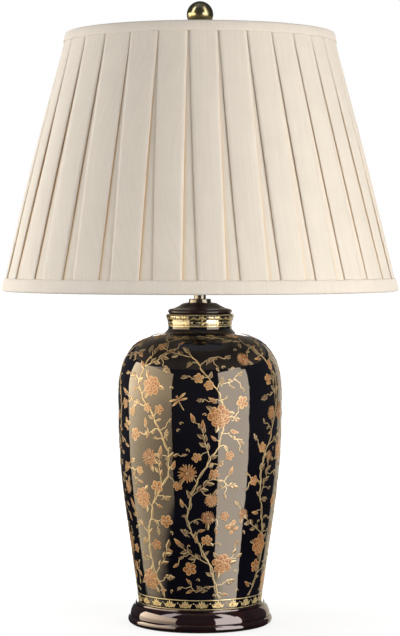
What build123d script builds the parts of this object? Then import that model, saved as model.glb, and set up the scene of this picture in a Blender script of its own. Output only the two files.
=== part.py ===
"""Ginger jar table lamp with a box-pleated empire shade.

A glazed ceramic jar stands on a turned wooden plinth and is closed by a turned wooden cap.
A hollow threaded rod runs up the middle and clamps plinth, jar, cap, collar, neck tube,
harp saddle and lampholder together. The wire harp carries the shade, which a ball finial
holds down. Millimetres, +Z up, origin at the middle of the underside. -Y is the front.
"""

import math
import os

from build123d import *

# ---------------------------------------------------------------- driving dimensions
# Broken edges of turned and pressed parts, and how far a cutter runs past what it cuts
edge_break = 0.6
fine_edge_break = 0.4
cutter_lead = 1.0

# Plinth and felt; each moulding stands out from the one above it by its projection
felt_thickness = 1.5
felt_setback = 2.2
plinth_height = 23.5
plinth_rim_width = 2.0
plinth_bead_projection = 1.8
plinth_bead_height = 3.3
plinth_ovolo_projection = 5.3
plinth_groove_depth = 0.8
plinth_groove_width = 0.7
plinth_torus_height = 7.5
plinth_torus_projection = 2.7
plinth_torus_crown_share = 0.37
plinth_foot_projection = 1.7
plinth_shelf_width = 0.3
plinth_ovolo_run_share = 0.66
plinth_ovolo_rise_share = 0.62
plinth_bead_crown = 1.3
plinth_bead_crown_share = 0.45
jar_recess_depth = 2.0
jar_recess_clearance = 0.8
hardware_recess_radius = 60.0
hardware_recess_depth = 12.5

# Cord outlet through the back of the plinth
cord_bore_radius = 3.75
bushing_wall = 1.25
bushing_flange_radius = 6.0
bushing_flange_thickness = 1.5
bushing_clearance = 0.05
cord_outlet_lift = 7.0
cord_outlet_setback = 1.2

# Ceramic jar; each rise is measured from the station below it, the first from the foot
jar_wall = 6.0
jar_floor = 7.0
jar_foot_radius = 70.6
jar_foot_recess_depth = 3.0
jar_foot_ring_width = 8.5
jar_waist_radius = 81.6
jar_waist_rise = 78.5
jar_flank_radius = 91.5
jar_flank_rise = 79.5
jar_belly_radius = 94.2
jar_belly_rise = 68.0
jar_shoulder_radius = 87.7
jar_shoulder_rise = 53.5
jar_shoulder_top_radius = 71.8
jar_shoulder_top_rise = 20.8
jar_neck_root_flare = 7.4
jar_neck_root_rise = 10.3
jar_neck_radius = 36.6
jar_neck_fillet = 5.5
jar_neck_height = 22.9
jar_lip_overhang = 2.2
jar_lip_height = 7.0
jar_lip_crown_share = 0.42
jar_lip_rounding = 1.6
jar_lip_overlap = 2.0
jar_lip_blend = 0.5
jar_foot_round = 0.8
jar_neck_wall = 5.5
jar_rod_hole_radius = 6.0
gasket_thickness = 1.0
gasket_setback = 0.6

# Turned cap on the jar's neck
cap_height = 12.5
cap_spigot_depth = 6.0
cap_spigot_clearance = 0.5
cap_bead_inset = 1.9
cap_bead_height = 4.9
cap_bead_setback = 1.6
cap_crown_radius = 17.8
cap_groove = 0.6
cap_dome_stations = ((0.60, 0.24), (0.26, 0.70))
cap_crown_drop = 0.4
cap_crown_slope = 2.0

# Threaded rod and its fastenings
rod_radius = 4.85
rod_bore_radius = 3.1
rod_clearance = 0.3
rod_tail = 3.0
rod_head = 2.0
nut_across_flats = 19.0
nut_thickness = 5.5
lock_washer_radius = 9.0
lock_washer_thickness = 1.0
lock_washer_teeth = 12
lock_washer_notch_depth = 1.6
lock_washer_notch_width = 0.9
base_washer_radius = 16.0
base_washer_thickness = 1.6

# Collar and neck tube
collar_radius = 12.7
collar_flange_radius = 13.4
collar_flange_thickness = 1.0
collar_height = 4.2
neck_tube_radius = 6.9
neck_tube_length = 40.0

# Harp and saddle
saddle_thickness = 1.8
saddle_width = 11.0
saddle_hub_radius = 11.0
harp_height = 254.0
harp_wire_radius = 1.7
harp_foot_spread = 29.0
harp_half_width = 58.0
harp_leg_length = 36.0
harp_flare_share = 0.225
harp_widest_share = 0.71
harp_shoulder_share = 0.895
harp_shoulder_width = 0.86
harp_crown_width = 0.41
bend_share = 0.45
saddle_clip_height = 14.0
saddle_clip_wall = 1.0
saddle_clip_slot = 2.4
clip_clearance = 0.05
sleeve_length = 12.0
sleeve_wall = 0.9
sleeve_clearance = 0.1
harp_seat_radius = 9.0
harp_seat_thickness = 6.0
harp_collar_radius = 5.2
harp_collar_drop = 0.3
stud_radius = 3.1
stud_length = 9.0

# Lampholder
holder_cap_radius = 17.6
holder_cap_wall = 0.8
holder_hub_radius = 8.2
holder_hub_height = 8.0
holder_cap_height = 22.0
holder_skirt_height = 7.5
holder_shell_wall = 0.6
holder_shell_length = 44.0
holder_fit = 0.1
holder_liner_wall = 0.7
holder_block_height = 17.0
holder_block_lift = 1.5
holder_block_bore = 5.85
holder_block_roof = 4.0
holder_hub_edge = 1.0
holder_hub_land = 0.6
holder_flare_swell = 1.6
holder_flare_sag = 0.6
holder_shell_lift = 1.0
holder_bead_radius = 1.0
holder_bead_setback = 2.2
holder_bead_sink = 0.2
holder_liner_setback = 1.5
set_screw_radius = 1.6
set_screw_head_radius = 2.6
set_screw_head_height = 1.6
set_screw_slot_depth = 0.8
screw_slot_width = 0.7
screw_fit = 0.05
screw_shell_radius = 13.9
screw_shell_wall = 0.5
screw_shell_length = 23.0
screw_shell_floor_hole = 6.0
contact_strip_width = 4.0
contact_thickness = 0.4
contact_rise = 2.2
contact_tail = 4.5
contact_bend = 1.0
contact_reach = 4.0
contact_pad = 1.0
terminal_radius = 1.8
terminal_head_radius = 3.0
terminal_head_height = 1.6
terminal_spread = 9.6
terminal_length = 6.0

# Turn knob on the lampholder
knob_shaft_radius = 2.0
knob_shaft_length = 24.0
knob_socket_depth = 9.0
knob_grip_radius = 5.0
knob_grip_length = 13.0
knob_wing_width = 15.0
knob_wing_thickness = 4.2
knob_slot_clearance = 0.6
knob_bearing_fit = 0.06
knob_end_play = 0.5
knob_flat_length = 6.0
knob_flat_depth = 0.6
knob_wing_lead = 3.0
knob_wing_round = 1.2

# Bulb
bulb_radius = 30.0
bulb_length = 108.0
bulb_glass_wall = 1.2
bulb_cap_radius = 13.1
bulb_cap_wall = 0.5
bulb_cap_length = 22.0
bulb_insulator_height = 3.0
bulb_contact_radius = 4.5
bulb_contact_height = 1.2
bulb_contact_gap = 0.3
bulb_neck_radius = 12.2
bulb_neck_depth = 4.0
bulb_cheek_drop = 28.0
bulb_insulator_step = 1.2
bulb_insulator_edge = 1.0
bulb_fit = 0.05
bulb_contact_setback = 0.4
bulb_contact_round = 0.8

# Shade
shade_bottom_radius = 228.6
shade_top_radius = 154.0
shade_height = 296.0
shade_drop = 7.5
trim_thickness = 1.0
top_trim_height = 11.5
bottom_trim_height = 15.0
trim_turn_in = 8.0
cover_wall = 2.6
pleat_depth = 1.6
groove_lead = 3.0
pleat_count = 30
pleat_gap_at_top = 1.5
pleat_phase = -2.9
layer_gap = 0.1
ring_wire_radius = 1.5
strut_wire_radius = 1.2
strut_count = 10
strut_gap = 0.2
lining_wall = 0.8
spider_arm_count = 3
spider_arm_radius = 1.6
spider_washer_radius = 14.0
spider_washer_thickness = 2.0
spider_washer_fit = 0.1
arm_notch_clearance = 0.2
arm_cope_fit = 0.02
arm_cope_reach = 4.0
arm_overlap = 2.0
washer_face_margin = 1.2
washer_face_cut = 3.0

# Ball finial
finial_ball_radius = 15.25
finial_stem_height = 14.0
finial_flange_radius = 8.2
finial_flange_height = 2.6
finial_waist_radius = 5.2
finial_cup_radius = 8.6
finial_spigot_radius = 4.6
finial_spigot_height = 7.0
finial_spigot_clearance = 0.05
finial_bore_clearance = 0.08
finial_bore_spare = 1.5
finial_flange_bevel = 0.8
finial_waist_share = 0.56
finial_cup_height = 1.4
finial_cup_edge = 0.6
finial_spigot_gap = 0.3

# ---------------------------------------------------------------- radii and heights that follow
jar_recess_radius = jar_foot_radius + jar_recess_clearance
plinth_rim_radius = jar_recess_radius + plinth_rim_width
plinth_neck_radius = plinth_rim_radius + plinth_bead_projection
plinth_ovolo_radius = plinth_neck_radius + plinth_ovolo_projection
plinth_torus_radius = plinth_ovolo_radius + plinth_torus_projection
plinth_foot_radius = plinth_ovolo_radius + plinth_foot_projection
felt_radius = plinth_foot_radius - felt_setback
cord_outlet_face = plinth_ovolo_radius - cord_outlet_setback
cord_outlet_z = felt_thickness + cord_outlet_lift
jar_lip_radius = jar_neck_radius + jar_lip_overhang
jar_waist_height = jar_waist_rise
jar_flank_height = jar_waist_height + jar_flank_rise
jar_belly_height = jar_flank_height + jar_belly_rise
jar_shoulder_height = jar_belly_height + jar_shoulder_rise
jar_shoulder_top_height = jar_shoulder_height + jar_shoulder_top_rise
jar_neck_root_height = jar_shoulder_top_height + jar_neck_root_rise
jar_height = jar_neck_root_height + jar_neck_height
cap_bead_radius = jar_lip_radius - cap_bead_inset
plinth_top = felt_thickness + plinth_height
jar_seat_z = plinth_top - jar_recess_depth
jar_foot_z = jar_seat_z + gasket_thickness
jar_top_z = jar_foot_z + jar_height
cap_top_z = jar_top_z + cap_height
collar_top_z = cap_top_z + collar_height
neck_top_z = collar_top_z + neck_tube_length
saddle_top_z = neck_top_z + saddle_thickness
harp_seat_z = saddle_top_z + harp_height
washer_top_z = harp_seat_z + spider_washer_thickness
shade_top_z = washer_top_z + shade_drop
shade_bottom_z = shade_top_z - shade_height
finial_ball_z = washer_top_z + finial_stem_height + finial_ball_radius
web_underside_z = felt_thickness + hardware_recess_depth
rod_hole_radius = rod_radius + rod_clearance

os.makedirs("parts", exist_ok=True)


def save(block, name):
    """Label one finished sub-part and write it to its own file."""
    block.part.label = name
    export_step(block.part, f"parts/{name}.step")


def rim_edge(block, end):
    """Outermost round edge at the bottom (0) or the top (-1) of a turned part."""
    return block.edges().filter_by(GeomType.CIRCLE).group_by(Axis.Z)[end].sort_by(SortBy.RADIUS)[-1]


# ================================================================ BODY: base
# ---------------------------------------------------------------- felt under the plinth
with BuildPart() as felt_pad:
    with BuildSketch():
        Circle(felt_radius)
    extrude(amount=felt_thickness)
save(felt_pad, "felt_pad")

# ---------------------------------------------------------------- turned plinth
moulding_top_z = felt_thickness + plinth_torus_height
ovolo_low_z = moulding_top_z + plinth_groove_width
bead_low_z = plinth_top - plinth_bead_height
with BuildPart() as plinth:
    with BuildSketch(Plane.XZ):
        with BuildLine():
            foot = (plinth_foot_radius, felt_thickness)
            torus_crown_z = felt_thickness + plinth_torus_crown_share * plinth_torus_height
            moulding_mid = (plinth_torus_radius, torus_crown_z)
            moulding_top = (plinth_ovolo_radius + plinth_shelf_width, moulding_top_z)
            ThreePointArc(foot, moulding_mid, moulding_top)
            groove_radius = plinth_ovolo_radius - plinth_groove_depth
            ovolo_low = (plinth_ovolo_radius, ovolo_low_z)
            Polyline(moulding_top, (groove_radius, moulding_top_z), (groove_radius, ovolo_low_z), ovolo_low)
            ovolo_high = (plinth_neck_radius, bead_low_z)
            ovolo_rise = bead_low_z - ovolo_low_z
            ovolo_mid = (
                plinth_neck_radius + plinth_ovolo_run_share * plinth_ovolo_projection,
                ovolo_low_z + plinth_ovolo_rise_share * ovolo_rise,
            )
            ThreePointArc(ovolo_low, ovolo_mid, ovolo_high)
            bead_low = (plinth_neck_radius - plinth_groove_depth, bead_low_z)
            Line(ovolo_high, bead_low)
            bead_crown_z = plinth_top - plinth_bead_crown_share * plinth_bead_height
            bead_mid = (plinth_rim_radius + plinth_bead_crown, bead_crown_z)
            rim = (plinth_rim_radius, plinth_top)
            ThreePointArc(bead_low, bead_mid, rim)
            Polyline(
                rim,
                (jar_recess_radius, plinth_top),
                (jar_recess_radius, jar_seat_z),
                (rod_hole_radius, jar_seat_z),
                (rod_hole_radius, web_underside_z),
                (hardware_recess_radius, web_underside_z),
                (hardware_recess_radius, felt_thickness),
                foot,
            )
        make_face()
    revolve(axis=Axis.Z)
    # cord hole through the back wall, with a spot face for the bushing's flange
    with BuildSketch(Plane.XZ.offset(-(hardware_recess_radius - cutter_lead))):
        with Locations((0, cord_outlet_z)):
            Circle(cord_bore_radius + bushing_wall + bushing_clearance)
    extrude(amount=-(plinth_torus_radius - hardware_recess_radius + 2 * cutter_lead), mode=Mode.SUBTRACT)
    with BuildSketch(Plane.XZ.offset(-cord_outlet_face)):
        with Locations((0, cord_outlet_z)):
            Circle(bushing_flange_radius + bushing_clearance)
    extrude(amount=-(plinth_torus_radius - cord_outlet_face + cutter_lead), mode=Mode.SUBTRACT)
save(plinth, "plinth")

# ---------------------------------------------------------------- cord bushing at the back
with BuildPart() as cord_bushing:
    with BuildSketch(Plane.XZ.offset(-cord_outlet_face)):
        with Locations((0, cord_outlet_z)):
            Circle(bushing_flange_radius)
    extrude(amount=-bushing_flange_thickness)
    with BuildSketch(Plane.XZ.offset(-cord_outlet_face)):
        with Locations((0, cord_outlet_z)):
            Circle(cord_bore_radius + bushing_wall)
    extrude(amount=cord_outlet_face - hardware_recess_radius)
    fillet(cord_bushing.edges().filter_by(GeomType.CIRCLE).sort_by(Axis.Y)[-1], edge_break)
    with BuildSketch(Plane.XZ.offset(-hardware_recess_radius)):
        with Locations((0, cord_outlet_z)):
            Circle(cord_bore_radius)
    bushing_length = cord_outlet_face - hardware_recess_radius + bushing_flange_thickness
    extrude(amount=-bushing_length, mode=Mode.SUBTRACT)
save(cord_bushing, "cord_bushing")

# ---------------------------------------------------------------- washer, lock washer and nut
base_washer_z = web_underside_z - base_washer_thickness
lock_washer_z = base_washer_z - lock_washer_thickness
base_nut_z = lock_washer_z - nut_thickness
with BuildPart() as base_washer:
    with BuildSketch(Plane.XY.offset(base_washer_z)):
        Circle(base_washer_radius)
        Circle(rod_hole_radius, mode=Mode.SUBTRACT)
    extrude(amount=base_washer_thickness)
save(base_washer, "base_washer")

with BuildPart() as lock_washer:
    with BuildSketch(Plane.XY.offset(lock_washer_z)):
        Circle(lock_washer_radius)
        Circle(rod_hole_radius, mode=Mode.SUBTRACT)
        with PolarLocations(lock_washer_radius, lock_washer_teeth):
            Rectangle(lock_washer_notch_depth, lock_washer_notch_width, mode=Mode.SUBTRACT)
    extrude(amount=lock_washer_thickness)
save(lock_washer, "lock_washer")

with BuildPart() as base_nut:
    with BuildSketch(Plane.XY.offset(base_nut_z)):
        RegularPolygon(nut_across_flats / 2, 6, major_radius=False)
        Circle(rod_radius, mode=Mode.SUBTRACT)
    extrude(amount=nut_thickness)
    chamfer(base_nut.faces().sort_by(Axis.Z)[0].outer_wire().edges(), edge_break)
save(base_nut, "base_nut")

# ---------------------------------------------------------------- gasket under the jar's foot
with BuildPart() as jar_gasket:
    with BuildSketch(Plane.XY.offset(jar_seat_z)):
        Circle(jar_foot_radius - gasket_setback)
        Circle(jar_foot_radius - jar_foot_ring_width, mode=Mode.SUBTRACT)
    extrude(amount=gasket_thickness)
save(jar_gasket, "jar_gasket")


# ---------------------------------------------------------------- ceramic jar
# way in which the wall's thickness is measured at the shoulder, at its top and at the neck's root
shoulder_in = (0.86, 0.5)
shoulder_top_in = (0.5, 0.87)
neck_root_in = (0.2, 1.0)


def jar_half_outline(inset, floor_height, top_height):
    """Half section of the jar from the axis to its skin, drawn in by inset, in the plane of the call."""
    base_z = jar_foot_z
    neck_radius = jar_neck_radius - (jar_neck_wall if inset else 0)
    foot = (jar_foot_radius - inset, base_z + floor_height)
    waist = (jar_waist_radius - inset, base_z + jar_waist_height)
    flank = (jar_flank_radius - inset, base_z + jar_flank_height)
    belly = (jar_belly_radius - inset, base_z + jar_belly_height)
    shoulder, shoulder_top, neck_root = (
        (radius - inward[0] * inset, base_z + height - inward[1] * inset)
        for radius, height, inward in (
            (jar_shoulder_radius, jar_shoulder_height, shoulder_in),
            (jar_shoulder_top_radius, jar_shoulder_top_height, shoulder_top_in),
            (jar_neck_radius + jar_neck_root_flare, jar_neck_root_height, neck_root_in),
        )
    )
    neck_foot = (neck_radius, base_z + jar_neck_root_height + jar_neck_fillet - inset)
    body = Spline(
        [foot, waist, flank, belly, shoulder, shoulder_top, neck_root],
        tangents=[(0.13, 1.0), (-1.0, 0.16)],
    )
    root = TangentArc(body @ 1, neck_foot, tangent=body % 1)
    Polyline(root @ 1, (neck_radius, base_z + top_height))
    Polyline((neck_radius, base_z + top_height), (0, base_z + top_height), (0, foot[1]), foot)


with BuildPart() as jar:
    with BuildSketch(Plane.XZ):
        with BuildLine():
            jar_half_outline(0, 0, jar_height)
        make_face()
    revolve(axis=Axis.Z)
    # rolled lip
    with BuildSketch(Plane.XZ):
        with BuildLine():
            lip_low = (jar_neck_radius - jar_lip_blend, jar_top_z - jar_lip_height)
            lip_high = (jar_lip_radius - jar_lip_rounding, jar_top_z)
            lip_crown = (jar_lip_radius, jar_top_z - jar_lip_crown_share * jar_lip_height)
            ThreePointArc(lip_low, lip_crown, lip_high)
            lip_root = jar_neck_radius - jar_lip_overlap
            Polyline(lip_high, (lip_root, jar_top_z), (lip_root, lip_low[1]), lip_low)
        make_face()
    revolve(axis=Axis.Z)
    # hollow inside, open at the neck
    with BuildSketch(Plane.XZ):
        with BuildLine():
            jar_half_outline(jar_wall, jar_foot_recess_depth + jar_floor, jar_height + cutter_lead)
        make_face()
    revolve(axis=Axis.Z, mode=Mode.SUBTRACT)
    # recess inside the foot ring, and the rod's hole
    with BuildSketch(Plane.XY.offset(jar_foot_z)):
        Circle(jar_foot_radius - jar_foot_ring_width)
    extrude(amount=jar_foot_recess_depth, mode=Mode.SUBTRACT)
    with BuildSketch(Plane.XY.offset(jar_foot_z)):
        Circle(jar_rod_hole_radius)
    extrude(amount=jar_foot_recess_depth + jar_floor + cutter_lead, mode=Mode.SUBTRACT)
    fillet(jar.faces().sort_by(Axis.Z)[0].outer_wire().edges(), jar_foot_round)
save(jar, "jar")

# ---------------------------------------------------------------- turned cap
cap_spigot_radius = jar_neck_radius - jar_neck_wall - cap_spigot_clearance
bead_top_z = jar_top_z + cap_bead_height
bead_edge_radius = cap_bead_radius - cap_bead_setback
with BuildPart() as jar_cap:
    with BuildSketch(Plane.XZ):
        with BuildLine():
            bead_low = (bead_edge_radius, jar_top_z)
            bead_high = (bead_edge_radius, bead_top_z)
            Polyline(
                (rod_hole_radius, cap_top_z),
                (rod_hole_radius, jar_top_z - cap_spigot_depth),
                (cap_spigot_radius, jar_top_z - cap_spigot_depth),
                (cap_spigot_radius, jar_top_z),
                bead_low,
            )
            ThreePointArc(bead_low, (cap_bead_radius, jar_top_z + cap_bead_height / 2), bead_high)
            dome_foot = (bead_edge_radius - cap_groove, bead_top_z + cap_groove)
            Polyline(bead_high, (bead_edge_radius - cap_groove, bead_top_z), dome_foot)
            crown = (cap_crown_radius, cap_top_z - cap_crown_drop)
            dome_run, dome_rise = dome_foot[0] - crown[0], crown[1] - dome_foot[1]
            dome = [
                (crown[0] + run * dome_run, dome_foot[1] + rise * dome_rise)
                for run, rise in cap_dome_stations
            ]
            Spline([dome_foot, *dome, crown], tangents=[(-1.0, 0.10), (-1.0, 0.22)])
            Polyline(crown, (cap_crown_radius - cap_crown_slope, cap_top_z), (rod_hole_radius, cap_top_z))
        make_face()
    revolve(axis=Axis.Z)
save(jar_cap, "jar_cap")

# ---------------------------------------------------------------- hollow threaded rod
rod_foot_z = base_nut_z - rod_tail
rod_top_z = saddle_top_z + holder_hub_height + rod_head
with BuildPart() as threaded_rod:
    with BuildSketch(Plane.XY.offset(rod_foot_z)):
        Circle(rod_radius)
        Circle(rod_bore_radius, mode=Mode.SUBTRACT)
    extrude(amount=rod_top_z - rod_foot_z)
    chamfer(rim_edge(threaded_rod, 0), edge_break)
    chamfer(rim_edge(threaded_rod, -1), edge_break)
save(threaded_rod, "threaded_rod")

# ---------------------------------------------------------------- collar and neck tube
with BuildPart() as collar:
    with BuildSketch(Plane.XZ):
        with BuildLine():
            Polyline(
                (rod_hole_radius, cap_top_z),
                (collar_flange_radius, cap_top_z),
                (collar_flange_radius, cap_top_z + collar_flange_thickness),
                (collar_radius, cap_top_z + collar_flange_thickness),
                (collar_radius, collar_top_z),
                (rod_hole_radius, collar_top_z),
                close=True,
            )
        make_face()
    revolve(axis=Axis.Z)
    fillet(rim_edge(collar, -1), edge_break)
save(collar, "collar")

with BuildPart() as neck_tube:
    with BuildSketch(Plane.XY.offset(collar_top_z)):
        Circle(neck_tube_radius)
        Circle(rod_hole_radius, mode=Mode.SUBTRACT)
    extrude(amount=neck_tube_length)
    chamfer(rim_edge(neck_tube, -1), fine_edge_break)
save(neck_tube, "neck_tube")

# ---------------------------------------------------------------- harp saddle
clip_inner_radius = harp_wire_radius + clip_clearance
clip_outer_radius = clip_inner_radius + saddle_clip_wall
saddle_half_length = harp_foot_spread + clip_outer_radius + sleeve_clearance + sleeve_wall
with BuildPart() as harp_saddle:
    with BuildSketch(Plane.XY.offset(neck_top_z)):
        Circle(saddle_hub_radius)
        SlotOverall(2 * saddle_half_length, saddle_width)
        Circle(rod_hole_radius, mode=Mode.SUBTRACT)
    extrude(amount=saddle_thickness)
    with BuildSketch(Plane.XY.offset(saddle_top_z)):
        for side in (-1, 1):
            with Locations((side * harp_foot_spread, 0)):
                Circle(clip_outer_radius)
                Circle(clip_inner_radius, mode=Mode.SUBTRACT)
            with Locations((side * (harp_foot_spread - clip_outer_radius), 0)):
                Rectangle(3 * saddle_clip_wall, saddle_clip_slot, mode=Mode.SUBTRACT)
    extrude(amount=saddle_clip_height)
save(harp_saddle, "harp_saddle")

# ---------------------------------------------------------------- wire harp
arch_z = harp_seat_z - harp_seat_thickness
arch_rise = arch_z - saddle_top_z
harp_corners = [
    (harp_foot_spread, saddle_top_z),
    (harp_foot_spread, saddle_top_z + harp_leg_length),
    (harp_half_width, saddle_top_z + harp_leg_length + harp_flare_share * arch_rise),
    (harp_half_width, saddle_top_z + harp_widest_share * arch_rise),
    (harp_shoulder_width * harp_half_width, saddle_top_z + harp_shoulder_share * arch_rise),
    (harp_crown_width * harp_half_width, arch_z),
]
harp_corners += [(-x, z) for x, z in reversed(harp_corners)]


def bend_radii(corners):
    """Bend radius at each inner corner: as large as the shorter run beside it allows."""
    radii = []
    for before, corner, after in zip(corners, corners[1:], corners[2:]):
        run_in, run_out = Vector(*corner) - Vector(*before), Vector(*after) - Vector(*corner)
        turn = math.radians(run_in.get_angle(run_out))
        radii.append(bend_share * min(run_in.length, run_out.length) / math.tan(turn / 2))
    return radii


with BuildPart() as harp_wire:
    with BuildLine(Plane.XZ) as harp_path:
        FilletPolyline(*harp_corners, radius=bend_radii(harp_corners))
    with BuildSketch(Plane(origin=harp_path.wires()[0] @ 0, z_dir=harp_path.wires()[0] % 0)):
        Circle(harp_wire_radius)
    sweep()
save(harp_wire, "harp_wire")

# ---------------------------------------------------------------- seat and stud on top of the harp
with BuildPart() as harp_seat:
    with BuildSketch(Plane.XY.offset(arch_z)):
        Circle(harp_seat_radius)
    extrude(amount=harp_seat_thickness)
    with BuildSketch(Plane.XY.offset(harp_seat_z)):
        Circle(harp_collar_radius)
    extrude(amount=spider_washer_thickness - harp_collar_drop)
    with BuildSketch(Plane.XY.offset(harp_seat_z)):
        Circle(stud_radius)
    extrude(amount=spider_washer_thickness + stud_length)
    chamfer(rim_edge(harp_seat, -1), edge_break)
    # the wire lies in a half-round groove across the underside
    with BuildSketch(Plane.YZ.offset(-harp_seat_radius - cutter_lead)):
        with Locations((0, arch_z)):
            Circle(harp_wire_radius + clip_clearance)
    extrude(amount=2 * (harp_seat_radius + cutter_lead), mode=Mode.SUBTRACT)
save(harp_seat, "harp_seat")

# ---------------------------------------------------------------- lampholder cap with its hub
cap_roof_z = saddle_top_z + holder_cap_height
skirt_low_z = cap_roof_z - holder_skirt_height
shell_radius = holder_cap_radius - holder_cap_wall - holder_fit
with BuildPart() as holder_cap:
    with BuildSketch(Plane.XZ):
        with BuildLine():
            hub_top_z = saddle_top_z + holder_hub_height
            flare_foot = (holder_hub_radius, hub_top_z - holder_hub_edge)
            flare_mid = (
                0.5 * (holder_hub_radius + holder_cap_radius) + holder_flare_swell,
                0.5 * (hub_top_z + skirt_low_z) - holder_flare_sag,
            )
            Polyline(
                (rod_radius, hub_top_z),
                (rod_radius, saddle_top_z),
                (holder_hub_radius, saddle_top_z),
                flare_foot,
            )
            ThreePointArc(flare_foot, flare_mid, (holder_cap_radius, skirt_low_z))
            Polyline(
                (holder_cap_radius, skirt_low_z),
                (holder_cap_radius, cap_roof_z),
                (holder_cap_radius - holder_cap_wall, cap_roof_z),
                (holder_cap_radius - holder_cap_wall, skirt_low_z),
            )
            inner_mid = (flare_mid[0] - holder_cap_wall, flare_mid[1] + holder_cap_wall)
            ThreePointArc(
                (holder_cap_radius - holder_cap_wall, skirt_low_z),
                inner_mid,
                (holder_hub_radius + holder_hub_land, hub_top_z),
            )
            Line((holder_hub_radius + holder_hub_land, hub_top_z), (rod_radius, hub_top_z))
        make_face()
    revolve(axis=Axis.Z)
    # tapped cross hole for the set screw, on the right of the hub
    with BuildSketch(Plane.YZ.offset(rod_radius - cutter_lead)):
        with Locations((0, saddle_top_z + holder_hub_height / 2)):
            Circle(set_screw_radius)
    extrude(amount=holder_hub_radius - rod_radius + 2 * cutter_lead, mode=Mode.SUBTRACT)
save(holder_cap, "holder_cap")

with BuildPart() as set_screw:
    with BuildSketch(Plane.YZ.offset(rod_radius + screw_fit)):
        with Locations((0, saddle_top_z + holder_hub_height / 2)):
            Circle(set_screw_radius)
    extrude(amount=holder_hub_radius - rod_radius)
    with BuildSketch(Plane.YZ.offset(holder_hub_radius + screw_fit)):
        with Locations((0, saddle_top_z + holder_hub_height / 2)):
            Circle(set_screw_head_radius)
    extrude(amount=set_screw_head_height)
    slot_floor_x = holder_hub_radius + screw_fit + set_screw_head_height - set_screw_slot_depth
    with BuildSketch(Plane.YZ.offset(slot_floor_x)):
        with Locations((0, saddle_top_z + holder_hub_height / 2)):
            Rectangle(screw_slot_width, 3 * set_screw_head_radius)
    extrude(amount=set_screw_slot_depth + cutter_lead, mode=Mode.SUBTRACT)
save(set_screw, "set_screw")

# ---------------------------------------------------------------- lampholder shell and liner
shell_low_z = skirt_low_z + holder_shell_lift
shell_top_z = shell_low_z + holder_shell_length
liner_radius = shell_radius - holder_shell_wall - holder_fit
block_radius = liner_radius - holder_liner_wall - holder_fit
block_low_z = shell_low_z + holder_block_lift
block_top_z = block_low_z + holder_block_height
knob_z = cap_roof_z + 0.5 * (block_top_z - cap_roof_z)
knob_slot_radius = knob_shaft_radius + knob_slot_clearance
with BuildPart() as holder_shell:
    with BuildSketch(Plane.XY.offset(shell_low_z)):
        Circle(shell_radius)
        Circle(shell_radius - holder_shell_wall, mode=Mode.SUBTRACT)
    extrude(amount=holder_shell_length)
    # rolled bead near the mouth
    bead_z = shell_top_z - holder_bead_setback
    with BuildSketch(Plane.XZ):
        with Locations((shell_radius - holder_shell_wall + holder_bead_sink, bead_z)):
            Circle(holder_bead_radius)
        with Locations((shell_radius - holder_shell_wall - 2 * holder_bead_radius, bead_z)):
            Rectangle(4 * holder_bead_radius, 4 * holder_bead_radius, mode=Mode.SUBTRACT)
    revolve(axis=Axis.Z)
    with BuildSketch(Plane.XZ.offset(block_radius - cutter_lead)):
        with Locations((0, knob_z)):
            Circle(knob_slot_radius)
    extrude(amount=shell_radius - block_radius + 2 * cutter_lead, mode=Mode.SUBTRACT)
save(holder_shell, "holder_shell")

with BuildPart() as holder_liner:
    with BuildSketch(Plane.XY.offset(shell_low_z)):
        Circle(liner_radius)
        Circle(liner_radius - holder_liner_wall, mode=Mode.SUBTRACT)
    extrude(amount=holder_shell_length - holder_liner_setback)
    with BuildSketch(Plane.XZ.offset(block_radius - cutter_lead)):
        with Locations((0, knob_z)):
            Circle(knob_slot_radius)
    extrude(amount=shell_radius - block_radius + 2 * cutter_lead, mode=Mode.SUBTRACT)
save(holder_liner, "holder_liner")

# ---------------------------------------------------------------- insulating block inside the lampholder
with BuildPart() as holder_block:
    with BuildSketch(Plane.XY.offset(block_low_z)):
        Circle(block_radius)
        Circle(holder_block_bore, mode=Mode.SUBTRACT)
        with Locations((terminal_spread, 0), (-terminal_spread, 0)):
            Circle(terminal_radius, mode=Mode.SUBTRACT)
    extrude(amount=holder_block_height - holder_block_roof)
    with BuildSketch(Plane.XY.offset(block_top_z - holder_block_roof)):
        Circle(block_radius)
        with Locations((terminal_spread, 0), (-terminal_spread, 0)):
            Circle(terminal_radius, mode=Mode.SUBTRACT)
    extrude(amount=holder_block_roof)
    # bearing for the knob's shaft
    with BuildSketch(Plane.XZ.offset(block_radius - knob_socket_depth)):
        with Locations((0, knob_z)):
            Circle(knob_shaft_radius + knob_bearing_fit)
    extrude(amount=knob_socket_depth + cutter_lead, mode=Mode.SUBTRACT)
save(holder_block, "holder_block")

with BuildPart() as terminal_screws:
    for side in (-1, 1):
        with BuildSketch(Plane.XY.offset(block_low_z)):
            with Locations((side * terminal_spread, 0)):
                Circle(terminal_radius - screw_fit)
        extrude(amount=terminal_length)
        with BuildSketch(Plane.XY.offset(block_low_z - terminal_head_height)):
            with Locations((side * terminal_spread, 0)):
                Circle(terminal_head_radius)
        extrude(amount=terminal_head_height)
        with BuildSketch(Plane.XY.offset(block_low_z - terminal_head_height)):
            with Locations((side * terminal_spread, 0)):
                Rectangle(3 * terminal_head_radius, screw_slot_width)
        extrude(amount=screw_slot_width, mode=Mode.SUBTRACT)
save(terminal_screws, "terminal_screws")

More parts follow.
